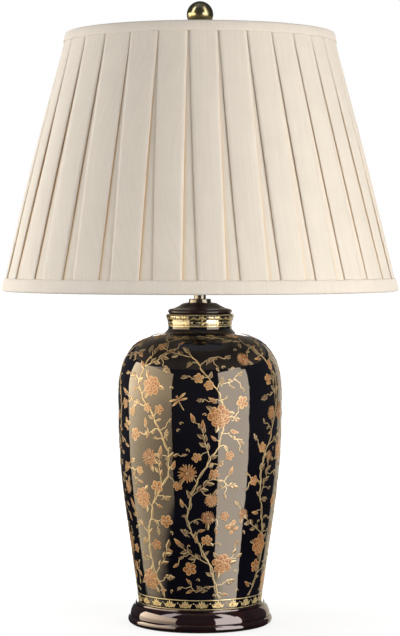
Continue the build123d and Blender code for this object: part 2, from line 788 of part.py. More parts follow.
# ---------------------------------------------------------------- screw shell and its centre contact
screw_shell_low_z = block_top_z
with BuildPart() as screw_shell:
    with BuildSketch(Plane.XY.offset(screw_shell_low_z)):
        Circle(screw_shell_radius)
        Circle(screw_shell_radius - screw_shell_wall, mode=Mode.SUBTRACT)
    extrude(amount=screw_shell_length)
    with BuildSketch(Plane.XY.offset(screw_shell_low_z)):
        Circle(screw_shell_radius)
        Circle(screw_shell_floor_hole, mode=Mode.SUBTRACT)
    extrude(amount=screw_shell_wall)
save(screw_shell, "screw_shell")

contact_foot_z = block_top_z
contact_top_z = contact_foot_z + contact_thickness + contact_rise
with BuildPart() as centre_contact:
    with BuildSketch(Plane.XZ):
        with BuildLine():
            Polyline(
                (-contact_tail, contact_foot_z),
                (-contact_bend, contact_foot_z),
                (contact_reach, contact_top_z - contact_thickness),
                (contact_reach + contact_thickness, contact_top_z),
                (contact_reach + contact_thickness - contact_pad, contact_top_z),
                (-contact_bend - contact_thickness, contact_foot_z + contact_thickness),
                (-contact_tail, contact_foot_z + contact_thickness),
                close=True,
            )
        make_face()
    extrude(amount=contact_strip_width / 2, both=True)
save(centre_contact, "centre_contact")

# ================================================================ BODY: knob
knob_inner_y = -(block_radius - knob_socket_depth + knob_end_play)
knob_outer_y = knob_inner_y - knob_shaft_length
with BuildPart() as knob_shaft:
    with BuildSketch(Plane.XZ.offset(-knob_inner_y)):
        with Locations((0, knob_z)):
            Circle(knob_shaft_radius)
    extrude(amount=knob_shaft_length)
    # flat on the driven end
    with BuildSketch(Plane.XZ.offset(-knob_outer_y)):
        with Locations((0, knob_z + knob_shaft_radius)):
            Rectangle(3 * knob_shaft_radius, 2 * knob_flat_depth)
    extrude(amount=-knob_flat_length, mode=Mode.SUBTRACT)
save(knob_shaft, "knob_shaft")

knob_grip_start = -knob_outer_y - knob_flat_length
with BuildPart() as knob_grip:
    with BuildSketch(Plane.XZ.offset(knob_grip_start)):
        with Locations((0, knob_z)):
            Circle(knob_grip_radius)
    extrude(amount=knob_grip_length * 0.5)
    with BuildSketch(Plane.XZ.offset(knob_grip_start + knob_wing_lead)):
        with Locations((0, knob_z)):
            SlotOverall(knob_wing_width, knob_wing_thickness)
    extrude(amount=knob_grip_length - knob_wing_lead)
    fillet(knob_grip.faces().sort_by(Axis.Y)[0].edges(), knob_wing_round)
    with BuildSketch(Plane.XZ.offset(knob_grip_start)):
        with Locations((0, knob_z)):
            Circle(knob_shaft_radius)
        with Locations((0, knob_z + knob_shaft_radius)):
            Rectangle(3 * knob_shaft_radius, 2 * knob_flat_depth, mode=Mode.SUBTRACT)
    extrude(amount=knob_flat_length, mode=Mode.SUBTRACT)
save(knob_grip, "knob_grip")

# ================================================================ BODIES: harp sleeves
for side, sleeve_name in ((-1, "harp_sleeve_left"), (1, "harp_sleeve_right")):
    with BuildPart() as harp_sleeve:
        with BuildSketch(Plane.XY.offset(saddle_top_z)):
            with Locations((side * harp_foot_spread, 0)):
                Circle(clip_outer_radius + sleeve_clearance + sleeve_wall)
                Circle(clip_outer_radius + sleeve_clearance, mode=Mode.SUBTRACT)
        extrude(amount=sleeve_length)
        fillet(rim_edge(harp_sleeve, -1), fine_edge_break)
    save(harp_sleeve, sleeve_name)

# ================================================================ BODY: bulb
bulb_tip_z = contact_top_z + bulb_contact_gap
bulb_cap_low_z = bulb_tip_z + bulb_contact_height + bulb_insulator_height
bulb_cap_top_z = bulb_cap_low_z + bulb_cap_length
bulb_centre_z = bulb_tip_z + bulb_length - bulb_radius


def bulb_outline(inset):
    """Half section of the bulb's glass, from the axis to its skin, drawn in by inset."""
    low = (bulb_neck_radius - inset, bulb_cap_top_z - bulb_neck_depth)
    cheek_angle = -math.radians(bulb_cheek_drop)
    cheek = (
        (bulb_radius - inset) * math.cos(cheek_angle),
        bulb_centre_z + (bulb_radius - inset) * math.sin(cheek_angle),
    )
    top = (0, bulb_centre_z + bulb_radius - inset)
    Spline([low, cheek], tangents=[(0.04, 1.0), (-math.sin(cheek_angle), math.cos(cheek_angle))])
    ThreePointArc(cheek, (bulb_radius - inset, bulb_centre_z), top)
    Polyline(top, (0, low[1]), low)


with BuildPart() as bulb_glass:
    with BuildSketch(Plane.XZ):
        with BuildLine():
            bulb_outline(0)
        make_face()
    revolve(axis=Axis.Z)
    with BuildSketch(Plane.XZ):
        with BuildLine():
            bulb_outline(bulb_glass_wall)
        make_face()
    revolve(axis=Axis.Z, mode=Mode.SUBTRACT)
save(bulb_glass, "bulb_glass")

with BuildPart() as bulb_cap:
    with BuildSketch(Plane.XY.offset(bulb_cap_low_z)):
        Circle(bulb_cap_radius)
        Circle(bulb_cap_radius - bulb_cap_wall, mode=Mode.SUBTRACT)
    extrude(amount=bulb_cap_length)
save(bulb_cap, "bulb_cap")

with BuildPart() as bulb_insulator:
    with BuildSketch(Plane.XZ):
        with BuildLine():
            Polyline(
                (0, bulb_cap_low_z + bulb_insulator_step),
                (0, bulb_cap_low_z - bulb_insulator_height),
                (bulb_contact_radius, bulb_cap_low_z - bulb_insulator_height),
                (bulb_cap_radius - bulb_insulator_edge, bulb_cap_low_z),
                (bulb_cap_radius - bulb_cap_wall - bulb_fit, bulb_cap_low_z),
                (bulb_cap_radius - bulb_cap_wall - bulb_fit, bulb_cap_low_z + bulb_insulator_step),
                close=True,
            )
        make_face()
    revolve(axis=Axis.Z)
save(bulb_insulator, "bulb_insulator")

with BuildPart() as bulb_contact:
    with BuildSketch(Plane.XY.offset(bulb_tip_z)):
        Circle(bulb_contact_radius - bulb_contact_setback)
    extrude(amount=bulb_contact_height)
    fillet(bulb_contact.edges().group_by(Axis.Z)[0], bulb_contact_round)
save(bulb_contact, "bulb_contact")

# ================================================================ BODY: shade
shade_slope = (shade_bottom_radius - shade_top_radius) / shade_height
slant_angle = math.atan(shade_slope)


def envelope_radius(z):
    """Outside radius of the trims at height z."""
    return shade_bottom_radius - shade_slope * (z - shade_bottom_z)


def cone_section(outer_inset, wall, low, high):
    """Corners of a sloping wall's section, outer_inset inside the trims' outside."""
    outer_low, outer_high = envelope_radius(low) - outer_inset, envelope_radius(high) - outer_inset
    return [(outer_low, low), (outer_high, high), (outer_high - wall, high), (outer_low - wall, low)]


cover_inset = trim_thickness + layer_gap
ring_inset = cover_inset + cover_wall + layer_gap + ring_wire_radius / math.cos(slant_angle)
lining_inset = ring_inset + ring_wire_radius / math.cos(slant_angle) + layer_gap
turn_in_inset = lining_inset + lining_wall + layer_gap
edge_low_z = shade_bottom_z + trim_thickness + layer_gap
edge_high_z = shade_top_z - trim_thickness - layer_gap
top_ring_z = edge_high_z - ring_wire_radius
bottom_ring_z = edge_low_z + ring_wire_radius
top_ring_radius = envelope_radius(top_ring_z) - ring_inset
bottom_ring_radius = envelope_radius(bottom_ring_z) - ring_inset

# ---------------------------------------------------------------- wire rings
with BuildPart() as top_ring:
    with BuildSketch(Plane.XZ):
        with Locations((top_ring_radius, top_ring_z)):
            Circle(ring_wire_radius)
    revolve(axis=Axis.Z)
save(top_ring, "top_ring")

with BuildPart() as bottom_ring:
    with BuildSketch(Plane.XZ):
        with Locations((bottom_ring_radius, bottom_ring_z)):
            Circle(ring_wire_radius)
    revolve(axis=Axis.Z)
save(bottom_ring, "bottom_ring")

# ---------------------------------------------------------------- spider that sits on the harp
arm_start_radius = spider_washer_radius - arm_overlap
arm_start_z = harp_seat_z + spider_washer_thickness / 2
arm_run = top_ring_radius - arm_start_radius
arm_rise = top_ring_z - arm_start_z
arm_length = math.hypot(arm_run, arm_rise)


def arm_plane(turn):
    """Plane across one spider arm at its inner end, looking out along the arm."""
    out = (math.cos(turn), math.sin(turn))
    return Plane(
        origin=(arm_start_radius * out[0], arm_start_radius * out[1], arm_start_z),
        x_dir=(-out[1], out[0], 0),
        z_dir=(arm_run * out[0], arm_run * out[1], arm_rise),
    )


arm_turns = [math.radians(90 + 360 * k / spider_arm_count) for k in range(spider_arm_count)]
with BuildPart() as spider:
    for turn in arm_turns:
        with BuildSketch(arm_plane(turn)):
            Circle(spider_arm_radius)
        extrude(amount=arm_length)
    with BuildSketch(Plane.XY.offset(harp_seat_z)):
        Circle(spider_washer_radius)
    extrude(amount=spider_washer_thickness)
    # flat faces round the seat below and the finial above, and the hole for the seat's collar
    with BuildSketch(Plane.XY.offset(harp_seat_z - washer_face_cut)):
        Circle(harp_seat_radius + washer_face_margin)
    extrude(amount=washer_face_cut, mode=Mode.SUBTRACT)
    with BuildSketch(Plane.XY.offset(washer_top_z)):
        Circle(finial_flange_radius + washer_face_margin)
    extrude(amount=washer_face_cut, mode=Mode.SUBTRACT)
    with BuildSketch(Plane.XY.offset(harp_seat_z - washer_face_cut)):
        Circle(harp_collar_radius + spider_washer_fit)
    extrude(amount=spider_washer_thickness + 2 * washer_face_cut, mode=Mode.SUBTRACT)
    # the arms' ends are coped to the wire ring
    with BuildSketch(Plane.XZ):
        with Locations((top_ring_radius, top_ring_z)):
            Circle(ring_wire_radius + arm_cope_fit)
        with Locations((top_ring_radius + arm_cope_reach / 2, top_ring_z)):
            Rectangle(arm_cope_reach, 6 * ring_wire_radius)
    revolve(axis=Axis.Z, mode=Mode.SUBTRACT)
save(spider, "spider")

# ---------------------------------------------------------------- upright struts between the rings
strut_base = Vector(bottom_ring_radius, 0, bottom_ring_z)
strut_tip = Vector(top_ring_radius, 0, top_ring_z)
strut_run = (strut_tip - strut_base).length - 2 * (ring_wire_radius + strut_gap)
strut_direction = (strut_tip - strut_base).normalized()
strut_start = strut_base + strut_direction * (ring_wire_radius + strut_gap)
with BuildPart() as shade_struts:
    with BuildSketch(Plane(origin=strut_start, x_dir=(0, 1, 0), z_dir=strut_direction)):
        Circle(strut_wire_radius)
    strut = extrude(amount=strut_run, mode=Mode.PRIVATE)
    for k in range(strut_count):
        add(strut.rotate(Axis.Z, 360 * (k + 0.5) / strut_count))
save(shade_struts, "shade_struts")


# ---------------------------------------------------------------- lining inside the frame
with BuildPart() as shade_lining:
    with BuildSketch(Plane.XZ):
        with BuildLine():
            Polyline(*cone_section(lining_inset, lining_wall, edge_low_z, edge_high_z), close=True)
        make_face()
    revolve(axis=Axis.Z)
    for turn in arm_turns:
        with BuildSketch(arm_plane(turn)):
            Circle(spider_arm_radius + arm_notch_clearance)
        extrude(amount=arm_length, mode=Mode.SUBTRACT)
save(shade_lining, "shade_lining")

# ---------------------------------------------------------------- pleated cover
# Each box pleat keeps one width from top to bottom, so the gaps between them open downward.
cover_length = (edge_high_z - edge_low_z) / math.cos(slant_angle)
cover_mid_z = (edge_high_z + edge_low_z) / 2
cover_mid_radius = envelope_radius(cover_mid_z) - cover_inset


def pleat_pitch(z):
    """Distance round the cover from one pleat to the next at height z."""
    return 2 * math.pi * (envelope_radius(z) - cover_inset) / pleat_count


pleat_width = pleat_pitch(shade_top_z - top_trim_height) - pleat_gap_at_top
gap_high = pleat_pitch(edge_high_z) - pleat_width
gap_low = pleat_pitch(edge_low_z) - pleat_width
with BuildPart() as pleated_cover:
    with BuildSketch(Plane.XZ):
        with BuildLine():
            Polyline(*cone_section(cover_inset, cover_wall, edge_low_z, edge_high_z), close=True)
        make_face()
    revolve(axis=Axis.Z)
    tangent_plane = Plane(
        origin=(0, -cover_mid_radius, cover_mid_z),
        x_dir=(1, 0, 0),
        z_dir=(0, -math.cos(slant_angle), math.sin(slant_angle)),
    )
    with BuildSketch(tangent_plane.offset(groove_lead)):
        with BuildLine():
            reach = cover_length / 2 + cutter_lead
            low_right, high_right = (gap_low / 2, -reach), (gap_high / 2, reach)
            Polyline((-gap_low / 2, -reach), low_right, high_right, (-gap_high / 2, reach), close=True)
        make_face()
    groove = extrude(amount=-(groove_lead + pleat_depth), mode=Mode.PRIVATE)
    grooves = [groove.rotate(Axis.Z, pleat_phase + 360 * k / pleat_count) for k in range(pleat_count)]
    add(grooves, mode=Mode.SUBTRACT)
save(pleated_cover, "pleated_cover")

# ---------------------------------------------------------------- bias trims folded over both edges
fold_depth = turn_in_inset + trim_thickness
top_fold_z = shade_top_z - trim_thickness
top_turn_in_z = shade_top_z - trim_turn_in
bottom_fold_z = shade_bottom_z + trim_thickness
bottom_turn_in_z = shade_bottom_z + trim_turn_in
with BuildPart() as top_trim:
    with BuildSketch(Plane.XZ):
        with BuildLine():
            Polyline(*cone_section(0, trim_thickness, shade_top_z - top_trim_height, shade_top_z), close=True)
        make_face()
        with BuildLine():
            Polyline(*cone_section(turn_in_inset, trim_thickness, top_turn_in_z, shade_top_z), close=True)
        make_face()
        with BuildLine():
            Polyline(*cone_section(0, fold_depth, top_fold_z, shade_top_z), close=True)
        make_face()
    revolve(axis=Axis.Z)
    for turn in arm_turns:
        with BuildSketch(arm_plane(turn)):
            Circle(spider_arm_radius + arm_notch_clearance)
        extrude(amount=arm_length, mode=Mode.SUBTRACT)
save(top_trim, "top_trim")

with BuildPart() as bottom_trim:
    with BuildSketch(Plane.XZ):
        with BuildLine():
            Polyline(
                *cone_section(0, trim_thickness, shade_bottom_z, shade_bottom_z + bottom_trim_height),
                close=True,
            )
        make_face()
        with BuildLine():
            turn_in = cone_section(turn_in_inset, trim_thickness, shade_bottom_z, bottom_turn_in_z)
            Polyline(*turn_in, close=True)
        make_face()
        with BuildLine():
            Polyline(*cone_section(0, fold_depth, shade_bottom_z, bottom_fold_z), close=True)
        make_face()
    revolve(axis=Axis.Z)
save(bottom_trim, "bottom_trim")

# ================================================================ BODY: finial
stem_top_z = washer_top_z + finial_stem_height
cup_top_z = stem_top_z + finial_cup_height
spigot_top_z = cup_top_z + finial_spigot_height
finial_bore_radius = stud_radius + finial_bore_clearance
finial_bore_top_z = washer_top_z + stud_length + finial_bore_spare
ball_flat_radius = math.sqrt(finial_ball_radius**2 - (finial_ball_z - cup_top_z) ** 2)
with BuildPart() as finial_stem:
    with BuildSketch(Plane.XZ):
        with BuildLine():
            flange_top_z = washer_top_z + finial_flange_height
            flange_edge = (finial_flange_radius - finial_flange_bevel, flange_top_z)
            Polyline(
                (finial_bore_radius, washer_top_z),
                (finial_flange_radius, washer_top_z),
                (finial_flange_radius, flange_top_z - finial_flange_bevel),
                flange_edge,
            )
            waist = (finial_waist_radius, washer_top_z + finial_waist_share * finial_stem_height)
            cup_low = (finial_cup_radius, stem_top_z - finial_cup_edge)
            ThreePointArc(flange_edge, waist, cup_low)
            Polyline(
                cup_low,
                (finial_cup_radius, cup_top_z),
                (finial_spigot_radius, cup_top_z),
                (finial_spigot_radius, spigot_top_z),
                (0, spigot_top_z),
                (0, finial_bore_top_z),
                (finial_bore_radius, finial_bore_top_z),
                (finial_bore_radius, washer_top_z),
            )
        make_face()
    revolve(axis=Axis.Z)
save(finial_stem, "finial_stem")

with BuildPart() as finial_ball:
    with BuildSketch(Plane.XZ):
        with BuildLine():
            ball_top = (0, finial_ball_z + finial_ball_radius)
            ball_low = (ball_flat_radius, cup_top_z)
            ThreePointArc(ball_top, (finial_ball_radius, finial_ball_z), ball_low)
            Polyline(
                ball_low,
                (finial_spigot_radius + finial_spigot_clearance, cup_top_z),
                (finial_spigot_radius + finial_spigot_clearance, spigot_top_z + finial_spigot_gap),
                (0, spigot_top_z + finial_spigot_gap),
                ball_top,
            )
        make_face()
    revolve(axis=Axis.Z)
save(finial_ball, "finial_ball")

print("total height", round(finial_ball_z + finial_ball_radius, 2))
print("shade slant", round(math.hypot(shade_height, shade_bottom_radius - shade_top_radius), 2))
print("pleat width", round(pleat_width, 2), "gap", round(gap_high, 2), "to", round(gap_low, 2))
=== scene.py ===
"""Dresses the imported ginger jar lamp: studio, pleated silk shade, enamelled jar, turned wood and brass.

Metres, +Z up, -Y is the front. Motifs on the jar are worked in millimetres.
"""

import math
import random
from collections import namedtuple

import bpy
import numpy as np
from bpy.props import FloatProperty, FloatVectorProperty, IntProperty, PointerProperty
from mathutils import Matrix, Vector
from mathutils.bvhtree import BVHTree


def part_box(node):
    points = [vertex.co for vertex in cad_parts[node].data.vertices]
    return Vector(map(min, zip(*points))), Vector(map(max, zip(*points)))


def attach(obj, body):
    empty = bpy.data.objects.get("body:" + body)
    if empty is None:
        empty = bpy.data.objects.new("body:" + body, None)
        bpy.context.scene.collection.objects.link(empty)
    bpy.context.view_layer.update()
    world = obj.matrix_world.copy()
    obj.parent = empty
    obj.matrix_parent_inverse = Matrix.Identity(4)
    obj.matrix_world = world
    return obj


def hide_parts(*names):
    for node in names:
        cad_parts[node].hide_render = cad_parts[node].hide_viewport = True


bl_info = {
    "name": "Ginger Jar Lamp",
    "version": (1, 0, 0),
    "blender": (4, 5, 0),
    "location": "View3D > Sidebar > Jar Lamp",
    "description": "Pleated shade, enamelled jar, turned wood, brass and studio for the packed lamp",
    "category": "Object",
}

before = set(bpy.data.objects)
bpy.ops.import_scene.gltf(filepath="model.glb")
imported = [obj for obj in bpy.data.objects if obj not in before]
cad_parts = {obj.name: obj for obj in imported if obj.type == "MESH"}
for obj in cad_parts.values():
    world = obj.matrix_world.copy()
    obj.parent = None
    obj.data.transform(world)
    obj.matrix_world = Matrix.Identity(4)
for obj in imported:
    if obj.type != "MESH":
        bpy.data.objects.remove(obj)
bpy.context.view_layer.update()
MM = 0.001
FULL_TURN = 2 * math.pi


def srgb(red, green, blue):
    """Linear colour of three 0-255 screen values."""
    parts = [value / 255 for value in (red, green, blue)]
    return tuple(p / 12.92 if p <= 0.04045 else ((p + 0.055) / 1.055) ** 2.4 for p in parts)


def colour_setting(name, description, red, green, blue):
    """A colour picker whose default is given in screen values."""
    return FloatVectorProperty(
        name=name, description=description, subtype="COLOR", min=0, max=1, default=srgb(red, green, blue)
    )


def length_setting(name, description, default):
    """A length in metres."""
    return FloatProperty(name=name, description=description, unit="LENGTH", min=0, default=default)


# ---------------------------------------------------------------- settings
class StudioSettings(bpy.types.PropertyGroup):
    left_glow: FloatProperty(name="Left softbox", description="Brightness of the left softbox", default=3.1, min=0)
    left_sheen: FloatProperty(
        name="Left sheet", description="Brightness that only reflections take from the left", default=2.1, min=0
    )
    right_glow: FloatProperty(name="Right softbox", description="Brightness of the right softbox", default=4.7, min=0)
    rear_glow: FloatProperty(name="Rear fills", description="Brightness of the two rear fills", default=2.6, min=0)
    room_fill: FloatProperty(name="Room fill", description="Even light from the room", default=0.3, min=0, max=1)
    camera_distance: length_setting("Camera distance", "Camera's distance in front of the lamp's axis", 2.483)
    camera_height: length_setting("Camera height", "Camera's height above the table", 0.434)
    camera_pitch: FloatProperty(
        name="Camera pitch", description="Tilt below the horizon", subtype="ANGLE", default=math.radians(1.89)
    )
    camera_lens: FloatProperty(name="Lens", description="Focal length in millimetres", default=121.7, min=1)


class ShadeSettings(bpy.types.PropertyGroup):
    pleats: IntProperty(name="Pleats", description="Box pleats round the shade", default=30, min=6)
    cloth_per_pleat: length_setting("Cloth per pleat", "Width of cloth that each box pleat takes up", 75 * MM)
    cover_thickness: length_setting("Cover thickness", "Thickness of the silk", 0.3 * MM)
    puff: length_setting("Puff", "How far a pleat bows outward at mid height", 1.9 * MM)
    hand_wobble: FloatProperty(
        name="Hand wobble", description="Scatter of the pleats' places", subtype="ANGLE", default=math.radians(0.3)
    )
    silk: colour_setting("Silk", "Cream silk of the pleats", 231, 222, 209)
    # painted shade: the colour that the silk takes deep in the tucks, standing in for their shadow
    painted_tuck_shade_colour: colour_setting("Tuck", "Silk deep inside the tucks", 236, 209, 168)
    lining: colour_setting("Lining", "Off-white lining", 236, 230, 218)
    trim: colour_setting("Trim", "Bias binding at both edges", 232, 223, 211)


class JarSettings(bpy.types.PropertyGroup):
    glaze: colour_setting("Glaze", "Near-black navy glaze", 9, 9, 20)
    gold: colour_setting("Gold", "Gold of stems and bands", 212, 190, 144)
    gold_deep: colour_setting("Deep gold", "Shaded gold in leaves and bands", 104, 72, 46)
    copper: colour_setting("Copper", "Deep part of the petals", 122, 62, 30)
    peach: colour_setting("Peach", "Middle tone of the petals", 172, 110, 62)
    cream: colour_setting("Cream", "Tips of the petals", 226, 190, 132)
    line: colour_setting("Line", "Fine painted outline", 74, 34, 16)
    seed: IntProperty(name="Seed", description="Seed of the painted garden's small variations", default=11)


class FinishSettings(bpy.types.PropertyGroup):
    plinth: colour_setting("Plinth", "Red-black mahogany lacquer", 13, 3, 3)
    plinth_light: colour_setting("Plinth grain", "Lighter grain of the plinth", 48, 11, 10)
    cap: colour_setting("Cap", "Satin mahogany of the jar's cap", 42, 24, 22)
    cap_light: colour_setting("Cap grain", "Lighter grain of the cap", 66, 38, 32)
    brass: colour_setting("Brass", "Aged brass of the finial", 168, 158, 120)
    nickel: colour_setting("Collar metal", "Dull pale brass of the collar and the neck tube", 124, 117, 106)
    tarnish: colour_setting("Tarnish", "Tarnish in the brass", 78, 64, 42)


# ---------------------------------------------------------------- node trees
class Net:
    """Adds and joins the nodes of one tree."""

    def __init__(self, tree):
        self.tree = tree

    def add(self, kind, inputs=None, **settings):
        """One node; inputs maps a socket's name or number to a value or to another node's output."""
        node = self.tree.nodes.new(kind)
        for name, value in settings.items():
            setattr(node, name, value)
        for key, value in (inputs or {}).items():
            self.feed(node.inputs[key], value)
        return node

    def feed(self, socket, value):
        if isinstance(value, bpy.types.NodeSocket):
            self.tree.links.new(value, socket)
        elif socket.type == "RGBA":
            socket.default_value = (*value[:3], 1)
        else:
            socket.default_value = value

    def math(self, operation, first, second=0.0, third=0.0, clamp=False):
        inputs = {0: first, 1: second, 2: third}
        return self.add("ShaderNodeMath", inputs, operation=operation, use_clamp=clamp).outputs[0]

    def mix(self, factor, first, second, blend="MIX"):
        inputs = {0: factor, 6: first, 7: second}
        return self.add("ShaderNodeMix", inputs, data_type="RGBA", blend_type=blend).outputs[2]

    def ramp(self, value, low, high, out_low=0.0, out_high=1.0):
        """Smooth step of a value from low to high."""
        inputs = {"Value": value, "From Min": low, "From Max": high, "To Min": out_low, "To Max": out_high}
        return self.add("ShaderNodeMapRange", inputs, interpolation_type="SMOOTHSTEP").outputs[0]

    def noise(self, vector, scale, detail=3.0, roughness=0.5, distortion=0.0):
        inputs = {"Vector": vector, "Scale": scale, "Detail": detail, "Roughness": roughness, "Distortion": distortion}
        return self.add("ShaderNodeTexNoise", inputs).outputs["Fac"]

    def stretched(self, vector, scale):
        """Coordinates scaled by their own factor on each axis."""
        return self.add("ShaderNodeMapping", {"Vector": vector, "Scale": scale}).outputs[0]

    def place(self):
        """Coordinates that stay with the piece."""
        return self.add("ShaderNodeTexCoord").outputs["Object"]

    def split(self, vector):
        return self.add("ShaderNodeSeparateXYZ", {0: vector}).outputs


def shared_group(name, inputs, outputs, build):
    """A node group made once: inputs maps names to (socket type, default), outputs names to socket types."""
    if name in bpy.data.node_groups:
        return bpy.data.node_groups[name]
    tree = bpy.data.node_groups.new(name, "ShaderNodeTree")
    for label, (kind, default) in inputs.items():
        socket = tree.interface.new_socket(label, in_out="INPUT", socket_type=kind)
        if default is not None:
            socket.default_value = default
    for label, kind in outputs.items():
        tree.interface.new_socket(label, in_out="OUTPUT", socket_type=kind)
    net = Net(tree)
    given = net.add("NodeGroupInput").outputs
    result = net.add("NodeGroupOutput")
    for label, value in build(net, given).items():
        net.feed(result.inputs[label], value)
    return tree


FLOAT, COLOUR, VECTOR = "NodeSocketFloat", "NodeSocketColor", "NodeSocketVector"


def weave_group():
    """Threads of a fine plain cloth with slubs, in cloth coordinates of metres."""

    def build(net, given):
        cloth = given["Cloth"]
        warp = net.noise(net.stretched(cloth, (2600, 160, 1)), 1.0, 2.0)
        weft = net.noise(net.stretched(cloth, (160, 2600, 1)), 1.0, 2.0)
        slub = net.noise(net.stretched(cloth, (420, 9, 1)), 1.0, 3.0, 0.6)
        cloud = net.noise(cloth, 28.0, 3.0)
        threads = net.math("MULTIPLY_ADD", weft, 0.5, net.math("MULTIPLY", warp, 0.5))
        raised = net.math("MULTIPLY_ADD", net.ramp(slub, 0.58, 0.75), given["Slub"], threads)
        tone = net.math("MULTIPLY_ADD", slub, 0.6, net.math("MULTIPLY", cloud, 0.4))
        return {"Height": raised, "Tone": net.ramp(tone, 0.32, 0.68)}

    inputs = {"Cloth": (VECTOR, None), "Slub": (FLOAT, 0.5)}
    return shared_group("fine_weave", inputs, {"Height": FLOAT, "Tone": FLOAT}, build)


def grain_group():
    """Straight grain and pores of a turned hardwood disc, with a little unevenness in the lacquer."""

    def build(net, given):
        along = net.stretched(given["Place"], (9, 150, 150))
        figure = net.noise(along, 1.0, 5.0, 0.62, 1.2)
        pores = net.noise(net.stretched(given["Place"], (60, 1500, 1500)), 1.0, 2.0)
        cloud = net.noise(given["Place"], 22.0, 2.0)
        grain = net.math("MULTIPLY_ADD", net.ramp(pores, 0.55, 0.72), -0.35, net.ramp(figure, 0.35, 0.7))
        return {"Grain": net.math("MAXIMUM", grain, 0.0), "Cloud": cloud, "Pores": net.ramp(pores, 0.52, 0.7)}

    return shared_group("turned_grain", {"Place": (VECTOR, None)}, {"Grain": FLOAT, "Cloud": FLOAT, "Pores": FLOAT}, build)


def metal_group():
    """Tool marks round the axis, small scratches and blotches of tarnish."""

    def build(net, given):
        place = given["Place"]
        height = net.split(place)[2]
        marks = net.noise(net.add("ShaderNodeCombineXYZ", {2: height}).outputs[0], given["Marks"], 2.0)
        blotch = net.noise(place, given["Blotch"], 5.0, 0.6)
        scratch = net.noise(net.stretched(place, (900, 900, 90)), 1.0, 2.0)
        return {"Height": net.math("MULTIPLY_ADD", scratch, 0.3, marks), "Tarnish": net.ramp(blotch, 0.42, 0.66)}

    inputs = {"Place": (VECTOR, None), "Marks": (FLOAT, 2400.0), "Blotch": (FLOAT, 90.0)}
    return shared_group("worked_metal", inputs, {"Height": FLOAT, "Tarnish": FLOAT}, build)


def stroke_group():
    """Painted shading of one enamel stroke: deep at its root, light at its tip, veined and outlined."""

    def build(net, given):
        mark = net.split(given["Stroke"])
        side = net.math("ABSOLUTE", net.math("MULTIPLY_ADD", mark[1], 2.0, -1.0))
        length = mark[0]
        grains = net.noise(given["Place"], 900.0, 3.0)
        shading = net.math("MULTIPLY_ADD", length, 0.62, net.math("MULTIPLY", side, 0.22))
        shading = net.math("ADD", shading, net.math("MULTIPLY_ADD", grains, 0.5, -0.27))
        shading = net.math("MULTIPLY_ADD", net.ramp(mark[1], 0.46, 0.54, -0.5, 0.5), given["Half"], shading)
        shading = net.math("ADD", shading, given["Tint"], clamp=True)
        low = net.mix(net.ramp(shading, 0.0, 0.5), given["Deep"], given["Middle"])
        paint = net.mix(net.ramp(shading, 0.45, 1.0), low, given["Light"])
        rib = net.ramp(side, 0.03, 0.13, 1.0, 0.0)
        veins = net.math("SINE", net.math("MULTIPLY_ADD", side, -9.0, net.math("MULTIPLY", length, given["Veins"])))
        veins = net.ramp(veins, 0.72, 0.97, 0.0, 0.6)
        drawn = net.math("MULTIPLY", net.math("MAXIMUM", rib, veins), given["Vein Strength"])
        rim = net.math("MAXIMUM", side, net.math("MULTIPLY_ADD", length, 2.4, -1.42))
        bright = net.math("MULTIPLY", net.ramp(rim, 0.62, 0.74), net.ramp(rim, 0.84, 0.9, 1.0, 0.0))
        paint = net.mix(drawn, paint, given["Line"])
        paint = net.mix(net.math("MULTIPLY", bright, given["Rim Strength"]), paint, given["Light"])
        paint = net.mix(net.math("MULTIPLY", net.ramp(rim, 0.86, 0.95), given["Line Strength"]), paint, given["Line"])
        return {"Color": paint, "Height": net.math("MULTIPLY_ADD", drawn, -0.5, grains)}

    inputs = {
        "Stroke": (VECTOR, None),
        "Place": (VECTOR, None),
        "Tint": (FLOAT, 0.0),
        "Deep": (COLOUR, (0, 0, 0, 1)),
        "Middle": (COLOUR, (0, 0, 0, 1)),
        "Light": (COLOUR, (0, 0, 0, 1)),
        "Line": (COLOUR, (0, 0, 0, 1)),
        "Half": (FLOAT, 0.0),
        "Veins": (FLOAT, 40.0),
        "Vein Strength": (FLOAT, 0.5),
        "Rim Strength": (FLOAT, 0.7),
        "Line Strength": (FLOAT, 0.8),
    }
    return shared_group("enamel_stroke", inputs, {"Color": COLOUR, "Height": FLOAT}, build)


def new_material(name):
    """An empty node material with its output; returns the material and its net."""
    material = bpy.data.materials.new(name)
    material.use_nodes = True
    material.node_tree.nodes.clear()
    return material, Net(material.node_tree)


def surface(net, inputs, height=None, bump=0.0, depth=0.1 * MM):
    """Principled surface with an optional bump, joined to the output."""
    if height is not None:
        relief = net.add("ShaderNodeBump", {"Strength": bump, "Distance": depth, "Height": height})
        inputs["Normal"] = relief.outputs[0]
    shader = net.add("ShaderNodeBsdfPrincipled", inputs)
    net.add("ShaderNodeOutputMaterial", {"Surface": shader.outputs[0]})


def cloth_material(name, colour, tuck, slub=0.5, roughness=0.85):
    """Cream silk or lining: fine weave, slubs, and a warmer tone down in the tucks, painted shade that stands in for
    their shadow.
    """
    material, net = new_material(name)
    cloth = net.add("ShaderNodeUVMap", uv_map="cloth").outputs[0]
    weave = net.add("ShaderNodeGroup", {}, node_tree=weave_group())
    net.feed(weave.inputs["Cloth"], cloth)
    net.feed(weave.inputs["Slub"], slub)
    # the tuck attribute holds how much painted tuck shade each point takes
    deep = net.add("ShaderNodeAttribute", attribute_name="tuck").outputs["Fac"]
    toned = net.mix(weave.outputs["Tone"], tuple(0.93 * c for c in colour), colour)
    body = net.mix(net.ramp(deep, 0.0, 1.0), toned, tuck)
    inputs = {"Base Color": body, "Roughness": roughness, "Sheen Weight": 0.12, "Sheen Roughness": 0.4}
    surface(net, inputs, weave.outputs["Height"], 0.2, 0.12 * MM)
    return material


